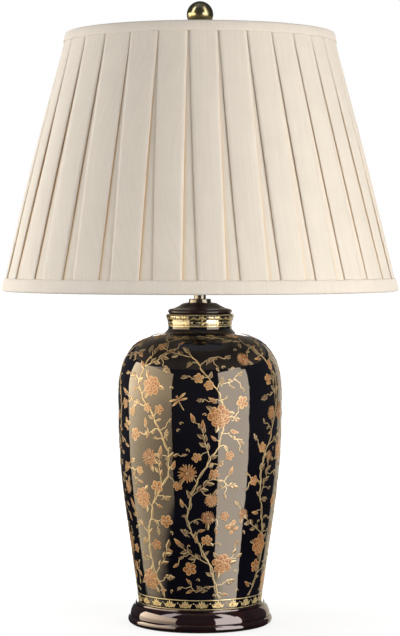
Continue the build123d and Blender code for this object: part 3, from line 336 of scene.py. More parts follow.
def wood_material(name, dark, light, roughness, **lacquer):
    """Stained mahogany under lacquer, its grain running across the turned disc."""
    material, net = new_material(name)
    grain = net.add("ShaderNodeGroup", {}, node_tree=grain_group())
    net.feed(grain.inputs["Place"], net.place())
    body = net.mix(net.math("MULTIPLY", grain.outputs["Grain"], 0.75), dark, light)
    body = net.mix(net.math("MULTIPLY", grain.outputs["Pores"], 0.6), body, tuple(0.35 * c for c in dark))
    rough = net.ramp(grain.outputs["Cloud"], 0.3, 0.7, roughness, roughness * 1.5)
    inputs = {"Base Color": body, "Roughness": rough}
    inputs.update(lacquer)
    surface(net, inputs, grain.outputs["Pores"], -0.05, 0.05 * MM)
    return material


def metal_material(name, colour, tarnish, tarnished, roughness, marks=2400.0, blotch=90.0):
    """Metal with tool marks and a share of tarnish."""
    material, net = new_material(name)
    worked = net.add("ShaderNodeGroup", {}, node_tree=metal_group())
    net.feed(worked.inputs["Place"], net.place())
    net.feed(worked.inputs["Marks"], marks)
    net.feed(worked.inputs["Blotch"], blotch)
    dull = net.math("MULTIPLY", worked.outputs["Tarnish"], tarnished)
    inputs = {
        "Base Color": net.mix(dull, colour, tarnish),
        "Metallic": 1.0,
        "Roughness": net.ramp(dull, 0.0, 1.0, roughness, min(1.0, roughness + 0.3)),
    }
    surface(net, inputs, worked.outputs["Height"], 0.12, 0.05 * MM)
    return material


def moulded_material(name, colour, speck, scale, roughness, bump=0.15, depth=0.1 * MM, **constants):
    """Felt, cork, card, plastic and the like: a base colour broken up by specks."""
    material, net = new_material(name)
    place = net.place()
    fleck = net.noise(place, scale, 4.0, 0.65)
    cloud = net.noise(place, scale / 12, 2.0)
    body = net.mix(net.ramp(fleck, 0.4, 0.7), colour, speck)
    inputs = {"Base Color": body, "Roughness": net.ramp(cloud, 0.3, 0.7, roughness * 0.85, min(1.0, roughness * 1.15))}
    inputs.update(constants)
    surface(net, inputs, fleck, bump, depth)
    return material


def finish_node(names, material):
    """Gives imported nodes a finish; their shapes stay as they are."""
    for name in names:
        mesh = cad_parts[name].data
        mesh.materials.clear()
        mesh.materials.append(material)


# ---------------------------------------------------------------- studio
def soft_light(name, width, height, place, rotation, glow, tint, across=(1.0, 1.0), fade=0.0, dim=None):
    """Rectangular light of an even glow.

    Its brightness may change from one side to the other, fade in over a share of its height from the bottom, and
    be dim up to a height: dim is (brightness below, share of the height where it starts to rise, and where it ends).
    """
    light = bpy.data.lights.new(name, "AREA")
    light.shape = "RECTANGLE"
    light.size, light.size_y = width, height
    light.energy = glow * math.pi * width * height
    light.color = tint
    light.use_nodes = True
    net = Net(light.node_tree)
    spot = net.split(net.add("ShaderNodeNewGeometry").outputs["Parametric"])
    strength = net.ramp(spot[0], 0.0, 1.0, *across)
    if fade:
        strength = net.math("MULTIPLY", strength, net.ramp(spot[1], 0.0, fade))
    if dim:
        strength = net.math("MULTIPLY", strength, net.ramp(spot[1], *dim[1:], dim[0], 1.0))
    net.feed(light.node_tree.nodes["Emission"].inputs["Strength"], strength)
    lamp = bpy.data.objects.new(name, light)
    bpy.context.collection.objects.link(lamp)
    lamp.location, lamp.rotation_euler = place, rotation
    lamp.visible_camera = False
    return lamp


def softbox(name, azimuth, distance, half_span, low, high, glow, tint, **evenness):
    """Upright light that faces the axis from an azimuth counted from the front, positive to the right."""
    turn = math.radians(azimuth)
    width = 2 * distance * math.tan(math.radians(half_span))
    place = (distance * math.sin(turn), -distance * math.cos(turn), (low + high) / 2)
    return soft_light(name, width, high - low, place, (math.radians(90), 0, turn), glow, tint, **evenness)


def stage_mesh(name, points, faces):
    mesh = bpy.data.meshes.new(name)
    mesh.from_pydata(points, [], faces)
    piece = bpy.data.objects.new(name, mesh)
    bpy.context.collection.objects.link(piece)
    return piece


def background_rays(net):
    """1 for rays that should meet the pale background: the camera's, and those of metal and glass."""
    path = net.add("ShaderNodeLightPath").outputs
    seen = net.math("MAXIMUM", path["Is Camera Ray"], path["Is Glossy Ray"])
    return net.math("MAXIMUM", seen, path["Is Transmission Ray"])


class JARLAMP_OT_studio(bpy.types.Operator):
    """Camera, softboxes, a faintly glowing drape that only reflections see, pale floor and room light"""

    bl_idname = "jar_lamp.studio"
    bl_label = "Studio"

    def execute(self, context):
        settings = context.scene.jar_lamp_studio
        scene = context.scene
        scene.view_settings.view_transform = "Standard"
        lens = bpy.data.cameras.new("camera")
        lens.lens = settings.camera_lens
        lens.sensor_width = 36
        lens.clip_end = 50
        camera = bpy.data.objects.new("camera", lens)
        scene.collection.objects.link(camera)
        camera.location = (0, -settings.camera_distance, settings.camera_height)
        camera.rotation_euler = (math.pi / 2 - settings.camera_pitch, 0, 0)
        scene.camera = camera

        soft_white, warm_white, across = (1.0, 0.985, 0.97), (1.0, 0.96, 0.91), (1.25, 0.62)
        left, right, top, ceiling = (-78, 1.3, 39), (48, 1.35, 23), 0.95, 2.8
        lower = {"across": across, "fade": 0.09, "dim": (0.45, 0.3, 0.56)}
        softbox("left_softbox", *left, -0.5, top, settings.left_glow, soft_white, **lower)
        softbox("right_softbox", *right, -0.62, top, settings.right_glow, warm_white, fade=0.08)
        # sheets that only reflections take: a warm one on the left, both softboxes drawn up high, and a ceiling
        amber = (1.0, 0.67, 0.12)
        sheets = [
            softbox("left_sheet", -78, 1.33, 39, -0.5, top, settings.left_sheen, amber, **lower),
            softbox("left_upper_sheet", -66, 1.3, 12, top, ceiling, settings.left_glow, soft_white),
            softbox("right_upper_sheet", 54, 1.35, 11, top, ceiling, settings.right_glow, warm_white),
            softbox("right_edge_sheet", 152, 1.5, 12, -0.5, 0.7, 0.9, (1.0, 0.86, 0.64)),
            soft_light("ceiling_sheet", 2.4, 1.8, (0.1, -0.2, ceiling), (0, 0, 0), 0.22, (0.85, 0.95, 1.2)),
        ]
        for sheet in sheets:
            sheet.visible_diffuse = False
        for side in (-1, 1):
            fill = softbox("rear_fill", side * 146, 1.6, 19, 0.0, 1.2, settings.rear_glow, (1.0, 0.98, 0.96))
            fill.visible_glossy = False
        softbox("rear_strip", 180, 1.6, 7, -0.8, 1.0, settings.rear_glow, (1.0, 0.97, 0.94))

        # just under the felt, and clear from below, so that the lamp's underside can be looked at
        reach, level = 30.0, -0.2 * MM
        corners = [(-reach, -reach, level), (reach, -reach, level), (reach, reach, level), (-reach, reach, level)]
        floor = stage_mesh("floor", corners, [(0, 1, 2, 3)])
        material, net = new_material("pale_floor")
        matte = net.add("ShaderNodeBsdfDiffuse", {"Color": (0.24, 0.24, 0.24)})
        away = net.add("ShaderNodeVectorMath", {0: net.place()}, operation="LENGTH").outputs["Value"]
        # painted shade: the floor's glow is dimmer near the lamp, a darker patch round its foot
        pale = net.math("MULTIPLY", background_rays(net), net.ramp(away, 0.1, 0.8, 0.8, 1.0))
        glow = net.add("ShaderNodeEmission", {"Color": (1, 1, 1), "Strength": pale})
        both = net.add("ShaderNodeAddShader", {0: matte.outputs[0], 1: glow.outputs[0]})
        clear = net.add("ShaderNodeBsdfTransparent")
        under = net.add("ShaderNodeNewGeometry").outputs["Backfacing"]
        sided = net.add("ShaderNodeMixShader", {0: under, 1: both.outputs[0], 2: clear.outputs[0]})
        net.add("ShaderNodeOutputMaterial", {"Surface": sided.outputs[0]})
        floor.data.materials.append(material)
        floor.visible_glossy = False

        # painted reflection: a faintly glowing drape all round, which only reflections see, keeps the glaze deep
        # between the softboxes
        sides, radius, low, high = 48, 3.4, -1.6, ceiling + 0.6
        ring = [(radius * math.cos(FULL_TURN * k / sides), radius * math.sin(FULL_TURN * k / sides)) for k in range(sides)]
        points = [(x, y, low) for x, y in ring] + [(x, y, high) for x, y in ring] + [(0, 0, low), (0, 0, high)]
        faces = [(k, (k + 1) % sides, sides + (k + 1) % sides, sides + k) for k in range(sides)]
        faces += [(2 * sides, (k + 1) % sides, k) for k in range(sides)]
        faces += [(2 * sides + 1, sides + k, sides + (k + 1) % sides) for k in range(sides)]
        drape = stage_mesh("glowing_reflection_drape", points, faces)
        material, net = new_material("glowing_reflection_drape")
        # the drape's glow rises from its foot to its top
        upward = net.ramp(net.split(net.place())[2], -0.7, 0.1, 0.03, 0.09)
        cloth = net.add("ShaderNodeEmission", {"Color": (0.85, 0.88, 1.0), "Strength": upward})
        net.add("ShaderNodeOutputMaterial", {"Surface": cloth.outputs[0]})
        drape.data.materials.append(material)
        drape.visible_camera = drape.visible_diffuse = drape.visible_shadow = False
        drape.visible_transmission = drape.visible_volume_scatter = False

        world = bpy.data.worlds.new("studio")
        scene.world = world
        world.use_nodes = True
        world.node_tree.nodes.clear()
        net = Net(world.node_tree)
        level = net.ramp(background_rays(net), 0.0, 1.0, settings.room_fill, 1.0)
        sky = net.add("ShaderNodeBackground", {"Color": (1, 1, 1), "Strength": level})
        net.add("ShaderNodeOutputWorld", {"Surface": sky.outputs[0]})
        return {"FINISHED"}


# ---------------------------------------------------------------- shade
LOW_TRIM, HIGH_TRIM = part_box("bottom_trim"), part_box("top_trim")
COVER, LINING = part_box("pleated_cover"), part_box("shade_lining")
SHADE_SLOPE = (LOW_TRIM[1].x - HIGH_TRIM[1].x) / (HIGH_TRIM[0].z - LOW_TRIM[0].z)


def envelope(z):
    """Outside radius of the shade's trims at height z."""
    return LOW_TRIM[1].x - SHADE_SLOPE * (z - LOW_TRIM[0].z)


def closed_sheet(name, points, along, tuck=None):
    """Sheet that closes on itself: points in rows of one turn each, along the cloth coordinates, one column more."""
    rows, columns = points.shape[:2]
    index = np.arange(rows * columns).reshape(rows, columns)
    right = np.roll(index, -1, axis=1)
    quads = np.stack([index[:-1], right[:-1], right[1:], index[1:]], axis=-1).reshape(-1, 4)
    mesh = bpy.data.meshes.new(name)
    mesh.from_pydata(points.reshape(-1, 3).tolist(), [], quads.tolist())
    corners = np.stack([along[:-1, :-1], along[:-1, 1:], along[1:, 1:], along[1:, :-1]], axis=2)
    mesh.uv_layers.new(name="cloth").data.foreach_set("uv", corners.astype(np.float32).ravel())
    mesh.polygons.foreach_set("use_smooth", np.ones(len(mesh.polygons), bool))
    # tuck is painted shade for the tucks, kept as a point attribute
    if tuck is not None:
        mesh.attributes.new("tuck", "FLOAT", "POINT").data.foreach_set("value", tuck.astype(np.float32).ravel())
    return mesh


def add_piece(name, mesh, material, body, slot, *replaced):
    """Puts a mesh in the scene with its finish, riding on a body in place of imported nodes."""
    mesh.materials.append(material)
    piece = bpy.data.objects.new(name, mesh)
    bpy.context.collection.objects.link(piece)
    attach(piece, body)
    if replaced:
        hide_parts(*replaced)
    return piece


def thicken(piece, thickness, offset=0.0):
    cloth = piece.modifiers.new("Thickness", "SOLIDIFY")
    cloth.thickness = thickness
    cloth.offset = offset


def smooth_step(value, low, high):
    part = np.clip((value - low) / (high - low), 0, 1)
    return part * part * (3 - 2 * part)


FRONT_GAP_LOW, FRONT_GAP_HIGH = math.radians(-2.6), math.radians(-4.7)
SMALL_GAP, FRONT_GAP = 0.5 * MM, 4.6 * MM
BASE_HEIGHT, RETURN_HEIGHT, PANEL_HEIGHT = 0.45 * MM, 1.15 * MM, 2.0 * MM


class Pleats:
    """Where each pleat's panel lies round the shade, row by row."""

    def __init__(self, settings, heights):
        count = settings.pleats
        scatter = random.Random(5)
        share = (heights - COVER[0].z) / (COVER[1].z - COVER[0].z)
        self.share = share
        self.inner = envelope(heights) - 3.5 * MM
        gaps = []
        for k in range(count + 1):
            turn = FULL_TURN * (k % count) / count
            lean = math.radians(5) * (1 - math.cos(turn)) + math.radians(1.3) * math.sin(turn) ** 2 * (math.sin(turn) > 0)
            wobble = scatter.uniform(-1, 1) * settings.hand_wobble if k % count else 0
            gaps.append((turn - lean + wobble, scatter.uniform(-0.25, 0.25) * settings.hand_wobble))
        gaps[count] = gaps[0]
        low = np.array([g[0] for g in gaps])
        low[count] += FULL_TURN
        drift = np.array([g[1] for g in gaps])
        lines = low + FRONT_GAP_LOW + np.outer(share, FRONT_GAP_HIGH - FRONT_GAP_LOW + drift)
        self.middle = (lines[:, :-1] + lines[:, 1:]) / 2
        top = np.diff(lines[-1]) * (envelope(heights[-1]) - 1.5 * MM)
        extra = np.full(count, SMALL_GAP)
        extra[0] += (FRONT_GAP - SMALL_GAP) / 2
        extra[-1] += (FRONT_GAP - SMALL_GAP) / 2
        self.width = top - extra
        self.tuck = np.maximum(2 * MM, (settings.cloth_per_pleat - self.pitch_arcs(lines)) / 4)

    def pitch_arcs(self, lines):
        return np.diff(lines, axis=1) * (self.inner + PANEL_HEIGHT)[:, None]


def pleat_rows(settings):
    """Points, cloth coordinates and painted tuck shade of the pleated cover, one row per height."""
    count, row_count = settings.pleats, 46
    heights = np.linspace(COVER[0].z, COVER[1].z, row_count)
    pleats = Pleats(settings, heights)
    scatter = np.random.RandomState(8)
    swell = np.sin(np.pi * np.clip((pleats.share - 0.05) / 0.86, 0, 1))
    across = np.linspace(0, 1, 10)
    columns, painted_tuck_shades, cloth = [], [], []
    laid = np.zeros(row_count)
    last = None

    def lay(angle, height, depth):
        """Adds one column of points at an angle and a height above the cover's inside, with its share of painted tuck
        shade.
        """
        nonlocal laid, last
        radius = pleats.inner + height
        here = np.stack([radius * np.sin(angle), -radius * np.cos(angle), heights], axis=-1)
        if last is not None:
            laid = laid + np.linalg.norm(here - last, axis=-1)
        last = here
        columns.append(here)
        painted_tuck_shades.append(np.full(row_count, depth))
        cloth.append(laid)

    for k in range(count):
        following = (k + 1) % count
        arc = pleats.inner + PANEL_HEIGHT
        half = pleats.width[k] / 2 / arc
        left, right = pleats.middle[:, k] - half, pleats.middle[:, k] + half
        next_middle = pleats.middle[:, following] + (FULL_TURN if following == 0 else 0)
        next_left = next_middle - pleats.width[following] / 2 / arc
        puff = settings.puff * swell * scatter.uniform(0.75, 1.25)
        tilt = scatter.uniform(-0.25, 0.25) * MM * swell
        drape = scatter.uniform(-1, 1, 3)
        for u in across:
            crown = 0.35 * MM + puff * (0.55 + 0.45 * math.sin(math.pi * u)) + tilt * (2 * u - 1)
            wave = drape[0] * math.sin(7 * u + drape[1] * 3) + 0.6 * np.sin(9 * pleats.share + drape[2] * 4) * (u - 0.5)
            ripple = 0.24 * MM * swell * wave
            edge = -0.28 * MM * (abs(2 * u - 1) ** 8)
            lay(left + u * (right - left), PANEL_HEIGHT + crown + ripple + edge, 0.0)
        tuck = pleats.tuck[:, k] / arc
        next_tuck = pleats.tuck[:, following] / arc
        gap = next_left - right
        lifted = PANEL_HEIGHT - 0.25 * MM + 0.5 * puff
        # the last number of each column is its painted tuck shade: 1 deep in a tuck, near 0 out on the panels
        lay(right + 0.35 * MM / arc, lifted - 0.25 * MM, 0.05)
        lay(right, RETURN_HEIGHT + 0.25 * puff, 0.85)
        lay(right - 0.5 * tuck, RETURN_HEIGHT, 1.0)
        lay(right - tuck, RETURN_HEIGHT - 0.1 * MM, 1.0)
        lay(right - tuck - 0.3 * MM / arc, (RETURN_HEIGHT + BASE_HEIGHT) / 2, 1.0)
        lay(right - tuck, BASE_HEIGHT, 1.0)
        lay(right - 0.4 * tuck, BASE_HEIGHT, 1.0)
        lay(right, BASE_HEIGHT, 1.0)
        lay(right + 0.12 * gap, BASE_HEIGHT + 0.05 * MM, 0.5)
        lay(right + 0.4 * gap, BASE_HEIGHT + 0.3 * MM, 0.08)
        lay(right + 0.7 * gap, BASE_HEIGHT + 0.35 * MM, 0.0)
        lay(right + 0.93 * gap, BASE_HEIGHT + 0.15 * MM, 0.3)
        lay(next_left, BASE_HEIGHT, 1.0)
        lay(next_left + 0.4 * next_tuck, BASE_HEIGHT, 1.0)
        lay(next_left + next_tuck, BASE_HEIGHT, 1.0)
        lay(next_left + next_tuck + 0.3 * MM / arc, (RETURN_HEIGHT + BASE_HEIGHT) / 2, 1.0)
        lay(next_left + next_tuck, RETURN_HEIGHT - 0.1 * MM, 1.0)
        lay(next_left + 0.5 * next_tuck, RETURN_HEIGHT, 1.0)
        lay(next_left, RETURN_HEIGHT + 0.25 * puff, 0.85)
        lay(next_left - 0.35 * MM / arc, lifted - 0.25 * MM, 0.05)
    laid = laid + np.linalg.norm(columns[0] - last, axis=-1)
    cloth.append(laid)
    points = np.stack(columns, axis=1)
    slant = math.sqrt(1 + SHADE_SLOPE**2)
    rise = (heights - heights[0]) * slant
    along = np.stack([np.stack(cloth, axis=1), np.repeat(rise[:, None], len(cloth), axis=1)], axis=-1)
    return points, along, np.stack(painted_tuck_shades, axis=1), slant * (heights[-1] - heights[0])


class JARLAMP_OT_pleated_cover(bpy.types.Operator):
    """Box-pleated silk cover of the shade"""

    bl_idname = "jar_lamp.pleated_cover"
    bl_label = "Pleated cover"

    def execute(self, context):
        settings = context.scene.jar_lamp_shade
        points, along, painted_tuck_shades, length = pleat_rows(settings)
        mesh = closed_sheet("silk_pleats", points, along, painted_tuck_shades)
        silk = cloth_material("cream_silk", settings.silk, settings.painted_tuck_shade_colour)
        piece = add_piece("silk_pleats", mesh, silk, "shade", "shade_fabric", "pleated_cover")
        thicken(piece, settings.cover_thickness)
        return {"FINISHED"}


ARM_TURNS = [math.radians(a) for a in (90, 210, 330)]


def round_the_shade(step_degrees, notch=None):
    """Angles round the shade, with close steps beside each spider arm where a notch is cut."""
    turns = list(np.radians(np.arange(0, 360, step_degrees)))
    if notch:
        for arm in ARM_TURNS:
            centre = math.pi / 2 + arm
            turns = [t for t in turns if abs((t - centre + math.pi) % FULL_TURN - math.pi) > 1.6 * notch]
            turns += [(centre + side * notch * share) % FULL_TURN for side in (-1, 1) for share in (0.97, 1.03, 1.5)]
            turns.append(centre % FULL_TURN)
    return np.array(sorted(turns))


def in_notch(turns, notch):
    """True beside a spider arm. A turn is counted from the front, an arm from +X."""
    near = np.zeros(len(turns), bool)
    for arm in ARM_TURNS:
        away = (turns - (math.pi / 2 + arm) + math.pi) % FULL_TURN - math.pi
        near |= np.abs(away) < notch
    return near


def swept_sheet(name, turns, radii, heights):
    """Sheet of revolution whose radius and height, in rows, may change with the turn."""
    points = np.stack([radii * np.sin(turns), -radii * np.cos(turns), heights], axis=-1)
    rows = np.linalg.norm(np.diff(points, axis=0), axis=-1).mean(axis=1)
    rise = np.concatenate([[0], np.cumsum(rows)])
    ends = np.append(turns, turns[0] + FULL_TURN)
    along = np.stack([radii.mean() * np.tile(ends, (len(points), 1)), np.repeat(rise[:, None], len(ends), 1)], axis=-1)
    return closed_sheet(name, points, along, np.zeros(points.shape[:2])), rise[-1]


class JARLAMP_OT_trims(bpy.types.Operator):
    """Bias bindings folded over the shade's two edges"""

    bl_idname = "jar_lamp.trims"
    bl_label = "Trims"

    def execute(self, context):
        settings = context.scene.jar_lamp_shade
        cloth = cloth_material("trim_silk", settings.trim, settings.painted_tuck_shade_colour, slub=0.25)
        self.bind("top_binding", "top_trim", HIGH_TRIM, +1, settings, cloth)
        self.bind("bottom_binding", "bottom_trim", LOW_TRIM, -1, settings, cloth)
        return {"FINISHED"}

    def bind(self, name, node, node_box, up, settings, cloth):
        """One binding: a folded hem, the outside, a rounded edge and a turned-in inside."""
        edge = node_box[1].z if up > 0 else node_box[0].z
        hem = node_box[0].z if up > 0 else node_box[1].z
        half = 0.3 * MM
        notch = math.radians(0.78) if up > 0 else None
        turns = round_the_shade(1.0, notch)
        turn_in = edge - up * 8 * MM
        # each station is (height, inset from the envelope)
        stations = [
            (hem + up * 3.0 * MM, 0.95 * MM),
            (hem + up * 0.6 * MM, 0.95 * MM),
            (hem + up * 0.1 * MM, 0.55 * MM),
            (hem + up * 0.5 * MM, 0.12 * MM),
            (hem + up * 2.2 * MM, -0.1 * MM),
            (0.5 * (hem + edge), -0.25 * MM),
            (edge - up * 2.6 * MM, -0.1 * MM),
            (edge - up * 1.1 * MM, 0.35 * MM),
            (edge - up * (0.45 * MM + half), 1.1 * MM),
            (edge - up * (0.1 * MM + half), 2.4 * MM),
            (edge - up * half, 4.0 * MM),
            (edge - up * half, 6.4 * MM),
            (edge - up * (0.15 * MM + half), 8.0 * MM),
            (edge - up * (0.75 * MM + half), 8.9 * MM),
            (edge - up * 2.6 * MM, 9.0 * MM),
            (0.5 * (edge + turn_in), 8.9 * MM),
            (turn_in, 8.8 * MM),
        ]
        heights = np.repeat(np.array([s[0] for s in stations])[:, None], len(turns), 1)
        insets = np.repeat(np.array([s[1] for s in stations])[:, None], len(turns), 1)
        pucker = np.sin(settings.pleats * turns + 1.2) * 0.12 + 0.1 * np.sin(71 * turns) + 0.06 * np.sin(113 * turns + 2)
        outside = np.array([0, 0, 0.5, 1, 1, 1, 0.8, 0.5] + [0] * 9)[:, None]
        insets = insets + outside * pucker * 1.6 * MM
        heights = heights + np.array([0, 0, 1, 1, 0.4] + [0] * 12)[:, None] * 0.35 * MM * np.sin(47 * turns + 1) * -up
        if notch:
            cut = in_notch(turns, notch)
            roof = edge - half - 0.55 * MM
            heights[13:, cut] = roof - np.arange(4)[:, None] * 0.02 * MM
            insets[13:, cut] = 8.6 * MM
        radii = envelope(heights) - insets
        mesh, width = swept_sheet(name, turns, radii, heights)
        piece = add_piece(name, mesh, cloth, "shade", "trim_fabric", node)
        thicken(piece, 2 * half)


class JARLAMP_OT_lining(bpy.types.Operator):
    """Lining drawn over the inside of the shade's frame"""

    bl_idname = "jar_lamp.lining"
    bl_label = "Lining"

    def execute(self, context):
        settings = context.scene.jar_lamp_shade
        notch = math.radians(0.75)
        turns = round_the_shade(2.0, notch)
        levels = np.linspace(LINING[0].z, LINING[1].z, 22)
        inset = envelope(LINING[0].z) - LINING[1].x + 0.45 * MM
        heights = np.repeat(levels[:, None], len(turns), 1)
        cut = in_notch(turns, notch)
        heights[-1, cut] = LINING[1].z - 4.2 * MM
        heights[-2, cut] = LINING[1].z - 14 * MM
        middle = np.sin(np.pi * np.linspace(0, 1, len(levels)))[:, None]
        pull = 0.9 * MM * middle * (1 - np.cos(10 * turns - math.pi)) / 2
        folds = 0.15 * MM * middle * np.sin(57 * turns)
        mesh, width = swept_sheet("drawn_lining", turns, envelope(heights) - inset - pull - folds, heights)
        cloth = cloth_material("lining_cloth", settings.lining, settings.painted_tuck_shade_colour, slub=0.15)
        piece = add_piece("drawn_lining", mesh, cloth, "shade", "lining_fabric", "shade_lining")
        thicken(piece, 0.3 * MM)
        return {"FINISHED"}


# ---------------------------------------------------------------- painted enamel on the jar
SINK = 0.14  # depth in mm to which each stroke's sides go into the glaze
Spot = namedtuple("Spot", "turn rise heading")


class JarWall:
    """The jar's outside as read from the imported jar: radius, height and normal against the length of its outline."""

    def __init__(self):
        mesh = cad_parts["jar"].data
        tree = BVHTree.FromPolygons([v.co for v in mesh.vertices], [p.vertices for p in mesh.polygons])
        low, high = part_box("jar")
        hub = Vector((0, 0, 0.29))
        shots = [(Vector((0, -0.2, z)), Vector((0, 1, 0))) for z in np.arange(low.z + 0.5 * MM, hub.z, 2 * MM)]
        for tilt in np.radians(np.arange(0, 52, 0.8)):
            ray = Vector((0, -math.cos(tilt), math.sin(tilt)))
            shots.append((hub + ray * 0.2, -ray))
        shots += [(Vector((0, -0.2, z)), Vector((0, 1, 0))) for z in np.arange(0.3412, high.z - 0.6 * MM, 0.7 * MM)]
        hits = [tree.ray_cast(*shot)[0] for shot in shots]
        outline = np.array([(-hit.y, hit.z) for hit in hits]) / MM
        steps = np.linalg.norm(np.diff(outline, axis=0), axis=1)
        self.rise = np.concatenate([[0], np.cumsum(steps)])
        self.radius, self.height = outline[:, 0], outline[:, 1]
        lean = np.stack([np.gradient(self.radius, self.rise), np.gradient(self.height, self.rise)], axis=1)
        lean /= np.linalg.norm(lean, axis=1)[:, None]
        self.out, self.up = lean[:, 1], -lean[:, 0]

    def radius_at(self, rise):
        return np.interp(rise, self.rise, self.radius)

    def rise_at(self, height):
        """Outline length at a height in mm, for the part below the neck where height only grows."""
        return np.interp(height, self.height, self.rise)

    def points(self, turn, rise, lift):
        """Points above the glaze by lift, all in millimetres."""
        radius = self.radius_at(rise) + lift * np.interp(rise, self.rise, self.out)
        height = np.interp(rise, self.rise, self.height) + lift * np.interp(rise, self.rise, self.up)
        return np.stack([radius * np.sin(turn), -radius * np.cos(turn), height], axis=-1)

    def step(self, spot, offset, heading=None):
        """The spot at an offset, given as forward + sideways*1j along the spot's heading."""
        move = offset * spot.heading
        rise = spot.rise + move.imag
        turn = spot.turn + move.real / float(self.radius_at(rise))
        return Spot(turn, rise, spot.heading if heading is None else spot.heading * heading)


def facing(degrees):
    return complex(math.cos(math.radians(degrees)), math.sin(math.radians(degrees)))


class Relief:
    """Collects strokes of raised enamel and turns them into one mesh of closed forms."""

    def __init__(self, wall):
        self.wall = wall
        self.points, self.quads, self.caps, self.marks, self.tints = [], [], [], [], []
        self.count = 0
        self.laid = 0

    def stroke(self, turn, rise, half_width, lift, dome, tint=0.0, lanes=5):
        """One stroke along a line of the jar's wall, with a width, an edge height and a crown at each of its points."""
        self.laid += 1
        lift = lift + 0.003 * (self.laid % 7)
        radius = self.wall.radius_at(rise)
        run = np.gradient(turn) * radius + 1j * np.gradient(rise)
        side = 1j * run / np.abs(run)
        across = np.linspace(-1, 1, lanes)
        lanes_all = np.append(across, [1, -1])
        offset = (half_width * side)[:, None] * lanes_all
        lifts = np.append(lift + dome * (1 - across**2), [-SINK, -SINK])
        turns = turn[:, None] + offset.real / radius[:, None]
        rises = rise[:, None] + offset.imag
        rows, lane_count = turns.shape
        self.points.append(self.wall.points(turns, rises, np.broadcast_to(lifts, turns.shape)).reshape(-1, 3))
        index = self.count + np.arange(rows * lane_count).reshape(rows, lane_count)
        beside = np.roll(index, -1, axis=1)
        self.quads.append(np.stack([index[:-1], index[1:], beside[1:], beside[:-1]], axis=-1).reshape(-1, 4))
        self.caps += [index[0].tolist(), index[-1][::-1].tolist()]
        length = np.broadcast_to(np.linspace(0, 1, rows)[:, None], turns.shape)
        self.marks.append(np.stack([length, np.broadcast_to(lanes_all * 0.5 + 0.5, turns.shape)], -1).reshape(-1, 2))
        self.tints.append(np.full(rows * lane_count, tint))
        self.count += rows * lane_count

    def shape(self, spot, line, half_width, lift, dome, tint=0.0, lanes=5):
        """A stroke given in millimetres round a spot, forward + sideways*1j."""
        moved = line * spot.heading
        rise = spot.rise + moved.imag
        turn = spot.turn + moved.real / self.wall.radius_at(rise)
        self.stroke(turn, rise, np.maximum(half_width, 0.1), lift, dome, tint, lanes)

    def halves(self):
        """The strokes on the front half of the jar and those on its back half, as two reliefs."""
        front, back = Relief(self.wall), Relief(self.wall)
        start = 0
        for number, points in enumerate(self.points):
            half = front if points[0, 1] < 0 else back
            shift = half.count - start
            half.points.append(points)
            half.quads.append(self.quads[number] + shift)
            half.caps += [[corner + shift for corner in cap] for cap in self.caps[2 * number : 2 * number + 2]]
            half.marks.append(self.marks[number])
            half.tints.append(self.tints[number])
            half.count += len(points)
            start += len(points)
        return front, back

    def finish(self, name, material, slot):
        points = np.concatenate(self.points) * MM
        faces = np.concatenate(self.quads).tolist() + self.caps
        mesh = bpy.data.meshes.new(name)
        mesh.from_pydata(points.tolist(), [], faces)
        marks = np.concatenate(self.marks).astype(np.float32)
        corners = np.zeros(len(mesh.loops), np.int32)
        mesh.loops.foreach_get("vertex_index", corners)
        mesh.uv_layers.new(name="stroke").data.foreach_set("uv", marks[corners].ravel())
        tints = np.concatenate(self.tints).astype(np.float32)
        mesh.attributes.new("tint", "FLOAT", "POINT").data.foreach_set("value", tints)
        mesh.polygons.foreach_set("use_smooth", np.ones(len(mesh.polygons), bool))
        mesh.set_sharp_from_angle(angle=math.radians(50))
        return add_piece(name, mesh, material, "base", slot)


def enamel_material(name, tones, veins, vein, rim, outline, roughness, metallic, half=0.0):
    """Painted enamel: tones are its deep, middle and light colours and its fine line."""
    material, net = new_material(name)
    stroke = net.add("ShaderNodeGroup", {}, node_tree=stroke_group())
    given = {
        "Stroke": net.add("ShaderNodeUVMap", uv_map="stroke").outputs[0],
        "Place": net.place(),
        "Tint": net.add("ShaderNodeAttribute", attribute_name="tint").outputs["Fac"],
        "Deep": tones[0],
        "Middle": tones[1],
        "Light": tones[2],
        "Line": tones[3],
        "Half": half,
        "Veins": veins,
        "Vein Strength": vein,
        "Rim Strength": rim,
        "Line Strength": outline,
    }
    for label, value in given.items():
        net.feed(stroke.inputs[label], value)
    inputs = {
        "Base Color": stroke.outputs["Color"],
        "Metallic": metallic,
        "Roughness": roughness,
        "Specular Tint": (1.0, 0.86, 0.68),
        "Coat Weight": 0.45,
        "Coat Roughness": 0.12,
    }
    surface(net, inputs, stroke.outputs["Height"], 0.25, 0.06 * MM)
    return material


def even(count):
    return np.linspace(0, 1, count)


